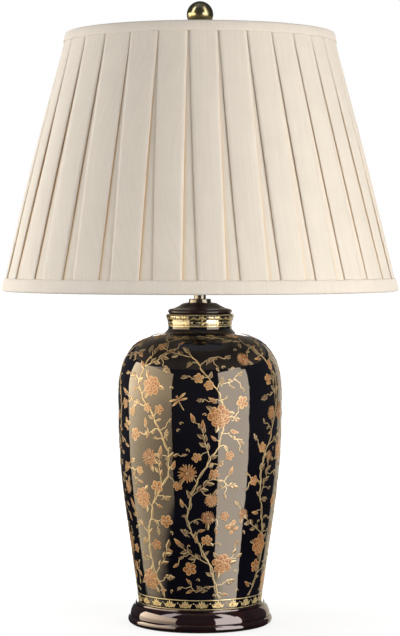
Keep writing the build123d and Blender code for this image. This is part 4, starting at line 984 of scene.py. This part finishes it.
class Garden:
    """Flowers, leaves and insects, each drawn at a spot of the jar's wall, that keep out of each other's way."""

    def __init__(self, wall, seed):
        self.wall = wall
        self.hand = random.Random(seed)
        self.stems, self.leaves, self.petals = Relief(wall), Relief(wall), Relief(wall)
        self.taken, self.forks, self.fork_points = [], [], []

    def free(self, spot, size):
        """True where a round motif of this half width has room; keeps the room if so."""
        here = self.wall.points(np.array(spot.turn), np.array(spot.rise), 0.0)
        low, high = self.wall.rise_at(GARDEN_LOW), self.wall.rise_at(GARDEN_HIGH)
        if not low + size < spot.rise < high - size:
            return False
        if any(np.linalg.norm(here - there) < 1.07 * (size + width) for there, width in self.taken):
            return False
        self.taken.append((here, size))
        return True

    def vary(self, share):
        return self.hand.uniform(-share, share)

    def fork(self, spot):
        """Keeps a spot of a stem from which something may still grow."""
        self.forks.append(spot)
        self.fork_points.append(self.wall.points(np.array(spot.turn), np.array(spot.rise), 0.0))

    def nearest_fork(self, spot, reach):
        """The fork nearest to a spot, or None beyond the reach in mm."""
        here = self.wall.points(np.array(spot.turn), np.array(spot.rise), 0.0)
        away = np.linalg.norm(np.array(self.fork_points) - here, axis=1)
        nearest = int(away.argmin())
        return self.forks[nearest] if away[nearest] < reach else None

    def leaf(self, spot, length, width, bend, tint=0.0):
        t = even(10)
        line = length * (t + 1j * bend * t * t)
        half = width * np.sin(np.pi * t**0.72) * (1 + 0.13 * np.where(np.arange(10) % 2, 1, -1))
        self.leaves.shape(spot, line, half, 0.17, 0.16, tint + self.vary(0.22))

    def petal(self, spot, start, length, width, lift, tint, bend=0.0, blunt=0.62):
        t = even(8)
        line = start + length * (t + 1j * bend * t * t)
        half = width * np.sin(np.pi * (0.05 + 0.93 * t)) ** blunt * (0.62 + 0.5 * t)
        self.petals.shape(spot, line, half, lift, 0.13, tint + self.vary(0.1))

    def bead(self, relief, spot, radius, lift, tint=0.3):
        a = np.linspace(-0.98, 0.98, 8)
        relief.shape(spot, radius * a + 0j, radius * np.sqrt(1 - a * a), lift, 0.35 * radius**0.5, tint)

    def camellia(self, spot, size, tint):
        """Full round flower: four whorls of broad petals that close toward the middle."""
        whorls = ((7, 0.36, 0.64, 0.42), (6, 0.2, 0.56, 0.36), (5, 0.08, 0.42, 0.27), (4, 0.0, 0.27, 0.16))
        for whorl, (count, start, length, width) in enumerate(whorls):
            for k in range(count):
                turned = facing(360 * (k + 0.5 * whorl) / count + self.vary(7))
                petal = self.wall.step(spot, 0, turned)
                reach = length * size * (1 + self.vary(0.1))
                self.petal(petal, start * size, reach, width * size, 0.16 + 0.09 * whorl, tint + 0.05 * whorl, self.vary(0.12))
        self.bead(self.petals, spot, 0.07 * size, 0.56, 0.6)

    def daisy(self, spot, size, tint):
        """Many-rayed flower with three rows of narrow petals."""
        for row, (count, start, length, width) in enumerate(((19, 0.3, 0.7, 0.085), (14, 0.2, 0.55, 0.08), (9, 0.1, 0.38, 0.07))):
            for k in range(count):
                ray = self.wall.step(spot, 0, facing(360 * (k + 0.4 * row) / count + self.vary(4)))
                self.petal(ray, start * size, length * size * (1 + self.vary(0.08)), width * size, 0.16 + 0.08 * row, tint, 0.10)
        self.bead(self.leaves, spot, 0.15 * size, 0.42, 0.35)

    def blossom(self, spot, size, tint):
        """Five-petalled blossom with stamens."""
        for k in range(5):
            around = self.wall.step(spot, 0, facing(72 * k + self.vary(6)))
            self.petal(around, 0.12 * size, 0.86 * size, 0.44 * size, 0.18 + 0.02 * (k % 2), tint, self.vary(0.08))
        for k in range(7):
            stamen = self.wall.step(spot, 0, facing(360 * k / 7 + self.vary(10)))
            self.stems.shape(stamen, even(4) * 0.42 * size + 0j, np.full(4, 0.16), 0.36, 0.06, 0.5, 3)
            self.bead(self.stems, self.wall.step(stamen, 0.46 * size), 0.34, 0.36, 0.7)
        self.bead(self.leaves, spot, 0.13 * size, 0.38, 0.4)

    def bud(self, spot, size, tint):
        """Half-open bud held in two sepals."""
        for lean, reach, shade in ((-13, 0.92, 0.0), (13, 0.92, 0.0), (0, 1.12, 0.15)):
            petal = self.wall.step(spot, 0, facing(lean))
            self.petal(petal, 0, reach * size, 0.2 * size, 0.18 + shade * 0.4, tint + shade, -0.014 * lean, 1.15)
        for lean in (-34, 34, 4):
            self.leaf(self.wall.step(spot, -0.08 * size, facing(lean)), 0.6 * size, 0.12 * size, -0.006 * lean, -0.1)
        self.bead(self.leaves, spot, 0.13 * size, 0.3, 0.0)

    def berries(self, spot, size, tint):
        """Bunch of round berries on short stalks."""
        for k in range(7):
            spread = facing(-66 + 22 * k + self.vary(6))
            reach = size * (0.55 + 0.38 * (k % 2) + self.vary(0.06))
            berry = self.wall.step(spot, reach * spread)
            self.stems.shape(self.wall.step(spot, 0, spread), even(4) * reach + 0j, np.full(4, 0.2), 0.12, 0.06, 0.3, 3)
            self.bead(self.petals, berry, 0.17 * size, 0.2, tint + 0.1 * (k % 3))

    def spray(self, spot, size):
        """Three or five leaves on a twig."""
        t = even(7)
        bend = self.vary(0.25)
        self.stems.shape(spot, size * (t + 1j * bend * t * t), 0.42 - 0.2 * t, 0.12, 0.1, 0.2, 3)
        self.leaf(self.wall.step(spot, size * (0.72 + 0.6j * bend), facing(70 * bend)), 0.62 * size, 0.19 * size, bend)
        for place, lean in ((0.3, 52), (0.42, -50), (0.66, 46), (0.7, -44)):
            side = self.wall.step(spot, size * (place + 1j * bend * place**2), facing(lean + self.vary(9)))
            self.leaf(side, size * (0.5 - 0.1 * place), 0.15 * size, -0.004 * lean, 0.0)

    def sprig(self, spot, half):
        """Short twig with leaves and a bud or blossom at its tip, on its own."""
        side = self.hand.choice((-1, 1))
        foot = self.wall.step(spot, -0.9 * half)
        t = even(9)
        line = 1.15 * half * (t + 0.3j * side * t * t)
        self.stems.shape(foot, line, 0.5 - 0.15 * t, 0.12, 0.12, 0.25, 3)
        for place, lean in ((0.2, 48), (0.45, -50), (0.7, 46)):
            at = self.wall.step(foot, 1.15 * half * complex(place, 0.3 * side * place**2), facing(side * lean))
            self.leaf(at, 0.72 * half, 0.2 * half, -0.2 * side)
        tip = self.wall.step(foot, complex(line[-1]), facing(side * 28))
        if half > 8:
            self.blossom(self.wall.step(tip, 0.42 * half), 0.5 * half, self.vary(0.2))
        else:
            self.bud(tip, 0.75 * half, self.vary(0.2))

    def tendril(self, spot, size, side):
        """Thin curl that winds in on itself."""
        t = even(26)
        turned = side * (0.5 * t + 2.1 * math.pi * t**1.7)
        steps = np.exp(1j * turned) * (1.0 - 0.72 * t)
        line = np.concatenate([[0], np.cumsum(steps[1:])]) * size / 11
        self.stems.shape(spot, line, 0.40 - 0.16 * t, 0.12, 0.1, 0.45, 3)

    def butterfly(self, spot, size, tint):
        """Resting butterfly seen from above."""
        for side in (-1, 1):
            for lean, length, width, lift in ((52, 1.0, 0.36, 0.2), (118, 0.72, 0.32, 0.26)):
                wing = self.wall.step(spot, (0.12 if lean < 90 else -0.12) * size, facing(side * lean))
                self.petal(wing, 0, length * size, width * size, lift, tint, -0.18 * side, 0.75)
                self.petal(wing, 0.1 * size, 0.55 * length * size, 0.45 * width * size, lift + 0.14, tint + 0.35, 0, 0.75)
            feeler = self.wall.step(spot, 0.4 * size, facing(side * 24))
            self.tendril(feeler, 0.5 * size, -side)
        t = even(9)
        body = 0.09 * size * np.sin(np.pi * (0.1 + 0.85 * t)) * (1 + 0.25 * np.cos(9 * t))
        self.leaves.shape(spot, size * (0.45 - 0.95 * t) + 0j, body, 0.42, 0.3, 0.1)

    def dragonfly(self, spot, size, tint):
        """Dragonfly with two pairs of long wings."""
        for side in (-1, 1):
            for lean, place, length in ((74, 0.22, 0.85), (100, 0.1, 0.78)):
                wing = self.wall.step(spot, place * size, facing(side * lean))
                self.petal(wing, 0, length * size, 0.12 * size, 0.2 + 0.05 * place, tint + 0.3, 0.05 * side, 0.6)
        t = even(16)
        body = size * (0.055 + 0.035 * np.exp(-(((t - 0.16) / 0.12) ** 2)) - 0.02 * t) * (1 + 0.12 * np.cos(22 * t))
        self.leaves.shape(spot, size * (0.5 - 1.35 * t + 0.05j * np.sin(3 * t)), body, 0.4, 0.25, 0.0)
        for side in (-1, 1):
            self.bead(self.petals, self.wall.step(spot, size * (0.5 + 0.045j * side)), 0.05 * size, 0.6, 0.1)

    def offshoot(self, spot, code, side, size=1.0):
        """One motif on a curved stalk beside a stem. Tries a few stalks and gives way to a smaller motif."""
        sizes = {"C": 12.5, "D": 11.0, "P": 6.4, "B": 5.6, "R": 5.6, "L": 7.2, "T": 3.4}
        fallback = {"C": "P", "D": "P", "P": "B", "R": "B", "B": "l", "L": "l", "T": "", "l": ""}
        if code == "Y":
            if self.branch(spot, side, size):
                return
            code = "L"
        while code:
            if code == "l":
                lean = facing(side * (46 + self.vary(14)))
                self.leaf(self.wall.step(spot, 0, lean), 9.5 * size, 2.5 * size, -0.2 * side, self.vary(0.15))
                return
            half = sizes[code] * size * (1 + self.vary(0.08))
            for stalk in (half + 5.5, half + 2.5, half + 10, half + 15):
                for lean in (62, 44, 84, 28):
                    out = facing(side * (lean + self.vary(8)))
                    place = self.wall.step(spot, stalk * out, out * facing(-side * 18))
                    if self.free(place, half * 0.93):
                        self.stalk(spot, place, side)
                        self.motif(code, place, half, side)
                        return
            code = fallback[code]

    def reach(self, spot, place):
        """Way from one spot to another in millimetres, as sideways + upward*1j."""
        turned = (place.turn - spot.turn + math.pi) % FULL_TURN - math.pi
        return complex(turned * float(self.wall.radius_at(spot.rise)), place.rise - spot.rise)

    def stalk(self, spot, place, side):
        """Curved twig from a stem to the motif at its end."""
        gap = self.reach(spot, place) / spot.heading
        t = even(9)
        line = gap * t - side * gap * (0.16j * np.sin(np.pi * t) + 0.03j * np.sin(4 * np.pi * t))
        self.stems.shape(spot, line, 0.5 - 0.15 * t, 0.11, 0.1, 0.2, 3)
        along = gap / abs(gap)
        for k in (3, 6):
            self.fork(self.wall.step(spot, complex(line[k]), along))
        if abs(gap) > 14:
            self.leaf(self.wall.step(spot, gap * 0.4, along * facing(-side * 40)), 6.5, 1.8, 0.15 * side, 0.0)

    def branch(self, spot, side, size):
        """Side branch with leaves on both sides and a flower at its tip; False where it has no room."""
        length = size * (34 + self.vary(6))
        lean = facing(side * (50 + self.vary(12)))
        t = even(14)
        line = length * (t - 0.22j * side * t * t) * lean
        tip = self.wall.step(spot, complex(line[-1]), lean * facing(-side * 26))
        if not all(self.free(self.wall.step(spot, complex(line[k])), 4.2) for k in (5, 9)):
            return False
        wave = 0.5 * np.sin(9 * t + side) * 1j * lean
        self.stems.shape(spot, line + wave, (0.62 - 0.28 * t) * size, 0.12, 0.13, 0.2, 3)
        for k in (3, 6, 9, 12):
            self.fork(self.wall.step(spot, complex(line[k]), lean))
        for number, k in enumerate((4, 6, 8, 10, 12)):
            flip = side if number % 2 else -side
            self.leaf(self.wall.step(spot, complex(line[k]), lean * facing(flip * 44)), 8.6 * size, 2.4 * size, -0.2 * flip)
        half = 6.2 * size
        code = self.hand.choice("PPDBB")
        if self.free(self.wall.step(tip, half), half * 0.9):
            self.motif(code, self.wall.step(tip, half), half, side)
        else:
            self.leaf(tip, 9 * size, 2.5 * size, 0.1)
        return True

    def motif(self, code, place, half, side):
        tint = self.vary(0.16)
        if code == "C":
            self.camellia(place, half, tint)
            for lean in (-64, 58, 176):
                edge = self.wall.step(place, half * 0.8 * facing(lean), facing(lean + self.vary(14)))
                self.leaf(edge, 8.5, 2.5, self.vary(0.3), 0.0)
        elif code == "D":
            self.daisy(place, half, tint)
            self.leaf(self.wall.step(place, half * 0.8 * facing(120 * side), facing(120 * side)), 8.0, 2.3, 0.2, 0.0)
        elif code == "P":
            self.blossom(place, half, tint + 0.1)
        elif code == "B":
            self.bud(self.wall.step(place, -0.8 * half), half * 1.7, tint)
        elif code == "R":
            self.berries(self.wall.step(place, -0.8 * half), half * 1.5, tint)
        elif code == "L":
            self.spray(self.wall.step(place, -half), half * 1.35)
        elif code == "T":
            self.tendril(self.wall.step(place, -half), half * 1.9, side)

    def vine(self, route, motifs, size=1.0):
        """A climbing stem through (azimuth in degrees, height in mm) points, with a motif code at even stations."""
        path = [(math.radians(a), float(self.wall.rise_at(z))) for a, z in route]
        ends = [path[0], *path, path[-1]]
        line = []
        for p, q, r, s in zip(ends, ends[1:], ends[2:], ends[3:]):
            for t in np.arange(0, 1, 1 / 14):
                line.append([
                    0.5 * (2 * q[i] + (r[i] - p[i]) * t + (2 * p[i] - 5 * q[i] + 4 * r[i] - s[i]) * t**2
                           + (3 * q[i] - p[i] - 3 * r[i] + s[i]) * t**3)
                    for i in (0, 1)
                ])
        turn, rise = np.array(line).T
        steps = np.arange(len(turn))
        turn = turn + 0.009 * np.sin(0.9 * steps + self.vary(3)) + 0.006 * np.sin(2.3 * steps)
        share = steps / steps[-1]
        width = (0.85 - 0.4 * share) * (1 + 0.16 * np.sin(1.7 * steps) + 0.1 * np.sin(4.1 * steps)) * size
        self.stems.stroke(turn, rise, width, 0.12, 0.16, 0.12, 3)
        radius = self.wall.radius_at(rise)
        twine = (2.6 - 1.2 * share) * np.sin(0.55 * steps + self.vary(3)) * size
        self.stems.stroke(turn + twine / radius, rise, 0.42 * width, 0.2, 0.12, 0.3, 3)
        run = np.gradient(turn) * radius + 1j * np.gradient(rise)
        length = np.concatenate([[0], np.cumsum(np.abs(run[1:]))])
        for k in range(3, len(turn), 3):
            self.fork(Spot(turn[k], rise[k], run[k] / abs(run[k])))
        side = 1
        for number, code in enumerate(motifs):
            along = length[-1] * (number + 0.7) / (len(motifs) + 0.2)
            at = int(np.searchsorted(length, along).clip(1, len(turn) - 2))
            spot = Spot(turn[at], rise[at], run[at] / abs(run[at]))
            self.offshoot(spot, code, side, size)
            if number % 3 == 1:
                self.offshoot(spot, "l", -side, 0.9 * size)
            side = -side
        tip = Spot(turn[-1], rise[-1], run[-1] / abs(run[-1]))
        self.leaf(tip, 10, 2.6, 0.15)
        self.leaf(self.wall.step(tip, -2, facing(35)), 7, 2.0, -0.2)


GARDEN_LOW, GARDEN_HIGH = 37.5, 337.0
# routes of the climbing stems: (azimuth from the front in degrees, height in mm), and what grows on each
VINES = (
    ([(17, 38), (6, 82), (-9, 126), (-2, 172), (13, 214), (16, 258), (4, 292), (-10, 318)], "YCYPLTBYDLYTCYBLPLY"),
    ([(-33, 38), (-45, 88), (-38, 140), (-22, 188), (-31, 236), (-47, 280), (-38, 318)], "CYLPYTCLYBDYTPYCLYL"),
    ([(-84, 38), (-76, 92), (-88, 148), (-79, 205), (-72, 256), (-83, 300), (-72, 325)], "YPCYTBLYDLPYRCYTLYP"),
    ([(50, 38), (63, 86), (54, 132), (49, 182), (62, 232), (68, 276), (54, 316)], "PYCLYTBYCLPYTDYLCYB"),
    ([(92, 38), (84, 92), (97, 150), (86, 205), (98, 256), (89, 300), (96, 322)], "CYTPYDBYLRCYPTYLPYB"),
    ([(126, 38), (137, 98), (121, 160), (133, 220), (122, 278), (131, 320)], "YDPYTCYLBYPLCYTLYPL"),
    ([(171, 38), (162, 96), (178, 152), (167, 212), (180, 266), (169, 320)], "PYCLYTDYPLYTCYLBYPB"),
    ([(212, 38), (223, 98), (207, 160), (220, 216), (209, 272), (219, 320)], "CYPTYLDYBLPYTCYLPYL"),
    ([(252, 38), (243, 94), (258, 152), (245, 214), (259, 270), (249, 320)], "YPCYTBLYDLPYCTYLBYP"),
)
# places kept for insects: (azimuth, height, heading in degrees, half width in mm)
BUTTERFLIES = ((26, 118, 125, 9.5), (-62, 232, 60, 8.5), (150, 140, 100, 9.0), (232, 246, 70, 9.0), (107, 300, 110, 8.0))
DRAGONFLIES = ((-14, 262, 118, 13.0), (193, 96, 60, 12.0))
# stretches of bare glaze: (azimuth, height, half width in mm)
CLEARINGS = ((41, 64, 8), (40, 100, 8), (41, 150, 9), (40, 196, 9), (41, 240, 9), (41, 284, 8), (0, 324, 13), (-14, 218, 9))


class JARLAMP_OT_garden(bpy.types.Operator):
    """Climbing flowers, leaves and insects in raised gold and copper enamel"""

    bl_idname = "jar_lamp.garden"
    bl_label = "Enamel garden"

    def execute(self, context):
        settings = context.scene.jar_lamp_jar
        wall = JarWall()
        garden = Garden(wall, settings.seed)
        for insects, draw in ((BUTTERFLIES, garden.butterfly), (DRAGONFLIES, garden.dragonfly)):
            for azimuth, height, heading, size in insects:
                spot = Spot(math.radians(azimuth), float(wall.rise_at(height)), facing(heading))
                garden.free(spot, size)
                draw(spot, size, 0.1)
        for azimuth, height, size in CLEARINGS:
            garden.free(Spot(math.radians(azimuth), float(wall.rise_at(height)), 1), size)
        for route, motifs in VINES:
            garden.vine(route, motifs)
        self.fill(garden)
        gold = (settings.gold_deep, tuple(0.5 * (a + b) for a, b in zip(settings.gold_deep, settings.gold)), settings.gold)
        stems = enamel_material("stem_gold", (*gold[1:], settings.cream, settings.gold_deep), 60.0, 0.15, 0.5, 0.4, 0.36, 0.38)
        leaves = enamel_material("leaf_gold", (*gold, settings.line), 42.0, 0.55, 0.7, 0.7, 0.36, 0.4, 0.75)
        tones = (settings.copper, settings.peach, settings.cream, settings.line)
        petals = enamel_material("petal_copper", tones, 0.0, 0.3, 0.8, 0.9, 0.4, 0.12)
        garden.stems.finish("climbing_stems", stems, "jar_glaze")
        for name, relief, material in (("enamel_leaves", garden.leaves, leaves), ("enamel_petals", garden.petals, petals)):
            for side, half in zip(("front", "back"), relief.halves()):
                half.finish(f"{name}_{side}", material, "jar_glaze")
        return {"FINISHED"}

    def fill(self, garden):
        """Twigs with flowers, buds and leaves, and loose curls, where the climbing stems leave the glaze bare."""
        wall, hand = garden.wall, garden.hand
        for half, codes, tries, reach in ((9.0, "LPLD", 700, 40), (6.4, "LPBL", 1100, 30), (4.6, "LBL", 1500, 22), (3.4, "T", 700, 0)):
            for _ in range(tries):
                height = hand.uniform(GARDEN_LOW, GARDEN_HIGH)
                spot = Spot(hand.uniform(0, FULL_TURN), float(wall.rise_at(height)), facing(hand.uniform(30, 150)))
                root = garden.nearest_fork(spot, reach)
                if (root is None and reach) or not garden.free(spot, half):
                    continue
                side = hand.choice((-1, 1))
                if root:
                    way = garden.reach(root, spot)
                    spot = Spot(spot.turn, spot.rise, way / abs(way) * facing(-12 * side))
                    garden.stalk(root, garden.wall.step(spot, -0.7 * half), side)
                garden.motif(hand.choice(codes), spot, half * 0.9, side)


class JARLAMP_OT_bands(bpy.types.Operator):
    """Gold scrolling band round the jar's neck and palmettes round its foot"""

    bl_idname = "jar_lamp.bands"
    bl_label = "Bands"

    def execute(self, context):
        settings = context.scene.jar_lamp_jar
        wall = JarWall()
        garden = Garden(wall, settings.seed)
        self.lines(garden, [(343.4, 0.5), (345.2, 0.3), (356.2, 0.45)])
        low = wall.rise[-1] - 12.6
        self.gild(wall, low + 1.2, wall.rise[-1] - 0.7, settings)
        for k in range(12):
            self.neck_scroll(garden, Spot(math.radians(30 * k + 4), low, facing(90)), wall.rise[-1] - low)
        self.lines(garden, [(35.6, 0.5), (24.9, 0.45)])
        for k in range(24):
            self.palmette(garden, Spot(math.radians(15 * k + 1.5), float(wall.rise_at(25.6)), facing(90)), 9.0)
        gold = (srgb(150, 116, 62), srgb(226, 198, 132), srgb(250, 230, 176), settings.line)
        band = enamel_material("band_gold", gold, 40.0, 0.2, 0.6, 0.5, 0.3, 0.45, 0.3)
        strokes = Relief(wall)
        for relief in (garden.stems, garden.leaves, garden.petals):
            self.gather(strokes, relief)
        strokes.finish("enamel_bands", band, "jar_glaze")
        return {"FINISHED"}

    def gild(self, wall, low, high, settings):
        """Gold ground right round the neck, laid under the scroll in twelve strips."""
        ground = Relief(wall)
        half = (high - low) / 2
        for k in range(12):
            turn = math.radians(30 * k) + np.linspace(0, math.radians(30.1), 13)
            ground.stroke(turn, np.full(13, low + half), np.full(13, half), 0.02, 0.0, lanes=15)
        gilding = metal_material("neck_gilding", srgb(166, 161, 147), settings.gold_deep, 0.25, 0.1, 900.0, 240.0)
        ground.finish("neck_gilding", gilding, "jar_glaze")

    def gather(self, strokes, relief):
        """Adds one relief's strokes to another."""
        strokes.points += relief.points
        strokes.quads += [quads + strokes.count for quads in relief.quads]
        strokes.caps += [[corner + strokes.count for corner in cap] for cap in relief.caps]
        strokes.marks += relief.marks
        strokes.tints += relief.tints
        strokes.count += relief.count

    def lines(self, garden, levels):
        """Thin gold lines right round the jar, in twelve strokes each."""
        for height, half in levels:
            level = float(garden.wall.rise_at(height))
            for k in range(12):
                turn = math.radians(30 * k) + np.linspace(0, math.radians(30.4), 13)
                garden.stems.stroke(turn, np.full(13, level), np.full(13, half), 0.12, 0.1, 0.3, 3)

    def neck_scroll(self, garden, spot, height):
        """One repeat of the neck band: an open flower, and a waving stem with broad leaves on to the next."""
        middle = garden.wall.step(spot, 0.43 * height)
        for k in range(6):
            ray = garden.wall.step(middle, 0, facing(60 * k))
            garden.petal(ray, 0.9, 0.37 * height, 0.15 * height, 0.2, 0.1, 0, 0.7)
        garden.bead(garden.leaves, middle, 1.3, 0.36, 0.4)

        def wave(share):
            return height * (0.45 + 0.25 * np.sin(FULL_TURN * share)) - 1j * (6.0 + 18.0 * share)

        garden.stems.shape(spot, wave(even(25)), np.full(25, 1.0), 0.2, 0.12, 0.3)
        for share, lean, length in ((0.06, -178, 5.2), (0.3, -168, 6.6), (0.47, 178, 3.6), (0.55, -14, 6.2), (0.8, -4, 6.6)):
            garden.leaf(garden.wall.step(spot, complex(wave(share)), facing(lean)), length, 2.1, 0.1, 0.2)
        for share, across in ((0.16, -3.4), (0.9, 3.4)):
            garden.bead(garden.leaves, garden.wall.step(spot, complex(wave(share)) + across), 0.9, 0.2, 0.4)

    def palmette(self, garden, spot, height):
        """One repeat of the foot band: a fan of petals with a curl on each side."""
        for k in range(7):
            lean = -84 + 28 * k
            ray = garden.wall.step(spot, 0.26 * height, facing(lean))
            garden.petal(ray, 0.1 * height, height * (0.7 - 0.0026 * abs(lean)), 0.115 * height, 0.18 + 0.02 * (k % 2), 0.1, 0, 0.7)
        garden.bead(garden.leaves, garden.wall.step(spot, 0.22 * height), 1.0, 0.3, 0.3)
        for side in (-1, 1):
            garden.tendril(garden.wall.step(spot, 0.12 * height + 1.2j * side, facing(62 * side)), 5.2, -side)
            garden.leaf(garden.wall.step(spot, 0.1 * height + 4.6j * side, facing(18 * side)), 5.6, 1.0, 0.2 * side, 0.1)
        garden.bead(garden.leaves, garden.wall.step(spot, 0.7 * height + 9.0j), 0.7, 0.2, 0.4)


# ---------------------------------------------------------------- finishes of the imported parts
class JARLAMP_OT_glaze(bpy.types.Operator):
    """Deep gloss glaze of the jar"""

    bl_idname = "jar_lamp.glaze"
    bl_label = "Glaze"

    def execute(self, context):
        settings = context.scene.jar_lamp_jar
        material, net = new_material("navy_glaze")
        place = net.place()
        cloud = net.noise(place, 14.0, 3.0)
        speck = net.noise(place, 700.0, 2.0)
        body = net.mix(net.ramp(cloud, 0.3, 0.7), tuple(0.55 * c for c in settings.glaze), settings.glaze)
        rough = net.ramp(speck, 0.35, 0.75, 0.02, 0.05)
        ripple = net.math("MULTIPLY_ADD", net.noise(place, 60.0, 2.0), 1.0, net.math("MULTIPLY", speck, 0.02))
        inputs = {"Base Color": body, "Roughness": rough, "IOR": 1.74, "Specular Tint": (1.0, 0.866, 0.715)}
        surface(net, inputs, ripple, 0.012, 0.3 * MM)
        finish_node(["jar"], material)
        return {"FINISHED"}


class JARLAMP_OT_turned_wood(bpy.types.Operator):
    """Lacquered plinth and satin cap"""

    bl_idname = "jar_lamp.turned_wood"
    bl_label = "Turned wood"

    def execute(self, context):
        settings = context.scene.jar_lamp_finish
        polish = {"IOR": 1.95, "Specular Tint": (1.0, 0.88, 0.88)}
        finish_node(["plinth"], wood_material("plinth_lacquer", settings.plinth, settings.plinth_light, 0.04, **polish))
        satin = {"Specular IOR Level": 0.12, "Coat Weight": 0.9, "Coat Roughness": 0.14}
        finish_node(["jar_cap"], wood_material("cap_lacquer", settings.cap, settings.cap_light, 0.38, **satin))
        return {"FINISHED"}


class JARLAMP_OT_metalwork(bpy.types.Operator):
    """Aged brass, bright hardware, steel and wire"""

    bl_idname = "jar_lamp.metalwork"
    bl_label = "Metalwork"

    def execute(self, context):
        settings = context.scene.jar_lamp_finish
        aged = metal_material("aged_brass", settings.brass, settings.tarnish, 0.55, 0.17)
        finish_node(["finial_stem", "finial_ball"], aged)
        dull = metal_material("dull_brass", settings.nickel, settings.tarnish, 0.6, 0.2)
        finish_node(["collar", "neck_tube"], dull)
        bright = metal_material("bright_brass", srgb(206, 170, 96), settings.tarnish, 0.35, 0.26, 3200.0, 140.0)
        finish_node(
            ["cord_bushing", "base_nut", "holder_cap", "holder_shell", "screw_shell", "centre_contact", "terminal_screws"],
            bright,
        )
        finish_node(["harp_saddle", "harp_wire", "harp_seat", "harp_sleeve_left", "harp_sleeve_right"], bright)
        zinc = metal_material("zinc_steel", srgb(176, 178, 180), srgb(98, 96, 92), 0.4, 0.34, 1500.0, 200.0)
        finish_node(["base_washer", "lock_washer", "threaded_rod", "set_screw", "knob_shaft"], zinc)
        tin = metal_material("spun_aluminium", srgb(204, 205, 206), srgb(140, 140, 138), 0.3, 0.3, 4000.0, 160.0)
        finish_node(["bulb_cap", "bulb_contact"], tin)
        wire = moulded_material("coated_wire", srgb(226, 222, 212), srgb(196, 190, 176), 420.0, 0.42, Metallic=0.0)
        finish_node(["top_ring", "bottom_ring", "shade_struts", "spider"], wire)
        return {"FINISHED"}


class JARLAMP_OT_small_parts(bpy.types.Operator):
    """Felt, cork, card, plastics and the bulb's glass"""

    bl_idname = "jar_lamp.small_parts"
    bl_label = "Small parts"

    def execute(self, context):
        felt = moulded_material("green_felt", srgb(40, 58, 44), srgb(66, 84, 66), 1400.0, 0.95, 0.8, 0.4 * MM)
        finish_node(["felt_pad"], felt)
        cork = moulded_material("cork_sheet", srgb(172, 126, 82), srgb(104, 68, 42), 620.0, 0.85, 0.5, 0.2 * MM)
        finish_node(["jar_gasket"], cork)
        finish_node(["holder_liner"], moulded_material("card_tube", srgb(186, 160, 120), srgb(150, 122, 84), 900.0, 0.9))
        resin = moulded_material("brown_phenolic", srgb(44, 26, 18), srgb(66, 42, 30), 520.0, 0.4)
        finish_node(["holder_block", "bulb_insulator"], resin)
        knob = moulded_material("black_plastic", srgb(22, 21, 20), srgb(38, 36, 34), 700.0, 0.34, 0.08)
        finish_node(["knob_grip"], knob)
        material, net = new_material("frosted_bulb")
        place = net.place()
        frost = net.noise(place, 1800.0, 2.0)
        height = net.split(place)[2]
        neck = net.ramp(height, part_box("bulb_cap")[1].z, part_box("bulb_cap")[1].z + 14 * MM, 1.0, 0.0)
        body = net.mix(net.math("MULTIPLY", neck, 0.5), srgb(240, 239, 234), srgb(206, 204, 198))
        body = net.mix(net.ramp(frost, 0.4, 0.7, 0.0, 0.15), body, srgb(222, 221, 216))
        inputs = {"Base Color": body, "Roughness": net.ramp(frost, 0.3, 0.7, 0.3, 0.45), "Coat Weight": 0.2}
        surface(net, inputs, frost, 0.05, 0.05 * MM)
        finish_node(["bulb_glass"], material)
        return {"FINISHED"}


# ---------------------------------------------------------------- panel and registration
MAKERS = (
    JARLAMP_OT_studio,
    JARLAMP_OT_pleated_cover,
    JARLAMP_OT_trims,
    JARLAMP_OT_lining,
    JARLAMP_OT_glaze,
    JARLAMP_OT_bands,
    JARLAMP_OT_garden,
    JARLAMP_OT_turned_wood,
    JARLAMP_OT_metalwork,
    JARLAMP_OT_small_parts,
)
SETTINGS = {
    "jar_lamp_studio": StudioSettings,
    "jar_lamp_shade": ShadeSettings,
    "jar_lamp_jar": JarSettings,
    "jar_lamp_finish": FinishSettings,
}


class JARLAMP_PT_sidebar(bpy.types.Panel):
    """The lamp's settings, and a button for each piece"""

    bl_label = "Jar Lamp"
    bl_idname = "JARLAMP_PT_sidebar"
    bl_space_type = "VIEW_3D"
    bl_region_type = "UI"
    bl_category = "Jar Lamp"

    def draw(self, context):
        for name, group in SETTINGS.items():
            box = self.layout.box()
            for setting in group.__annotations__:
                box.prop(getattr(context.scene, name), setting)
        for maker in MAKERS:
            self.layout.operator(maker.bl_idname)


def register():
    for name, group in SETTINGS.items():
        bpy.utils.register_class(group)
        setattr(bpy.types.Scene, name, PointerProperty(type=group))
    for maker in (*MAKERS, JARLAMP_PT_sidebar):
        bpy.utils.register_class(maker)


def unregister():
    for maker in (JARLAMP_PT_sidebar, *reversed(MAKERS)):
        bpy.utils.unregister_class(maker)
    for name, group in SETTINGS.items():
        delattr(bpy.types.Scene, name)
        bpy.utils.unregister_class(group)


def main():
    """Makes every piece in order."""
    register()
    for maker in MAKERS:
        operator = maker.bl_idname.split(".")[1]
        getattr(bpy.ops.jar_lamp, operator)()
    bpy.context.view_layer.update()


if __name__ == "__main__":
    main()
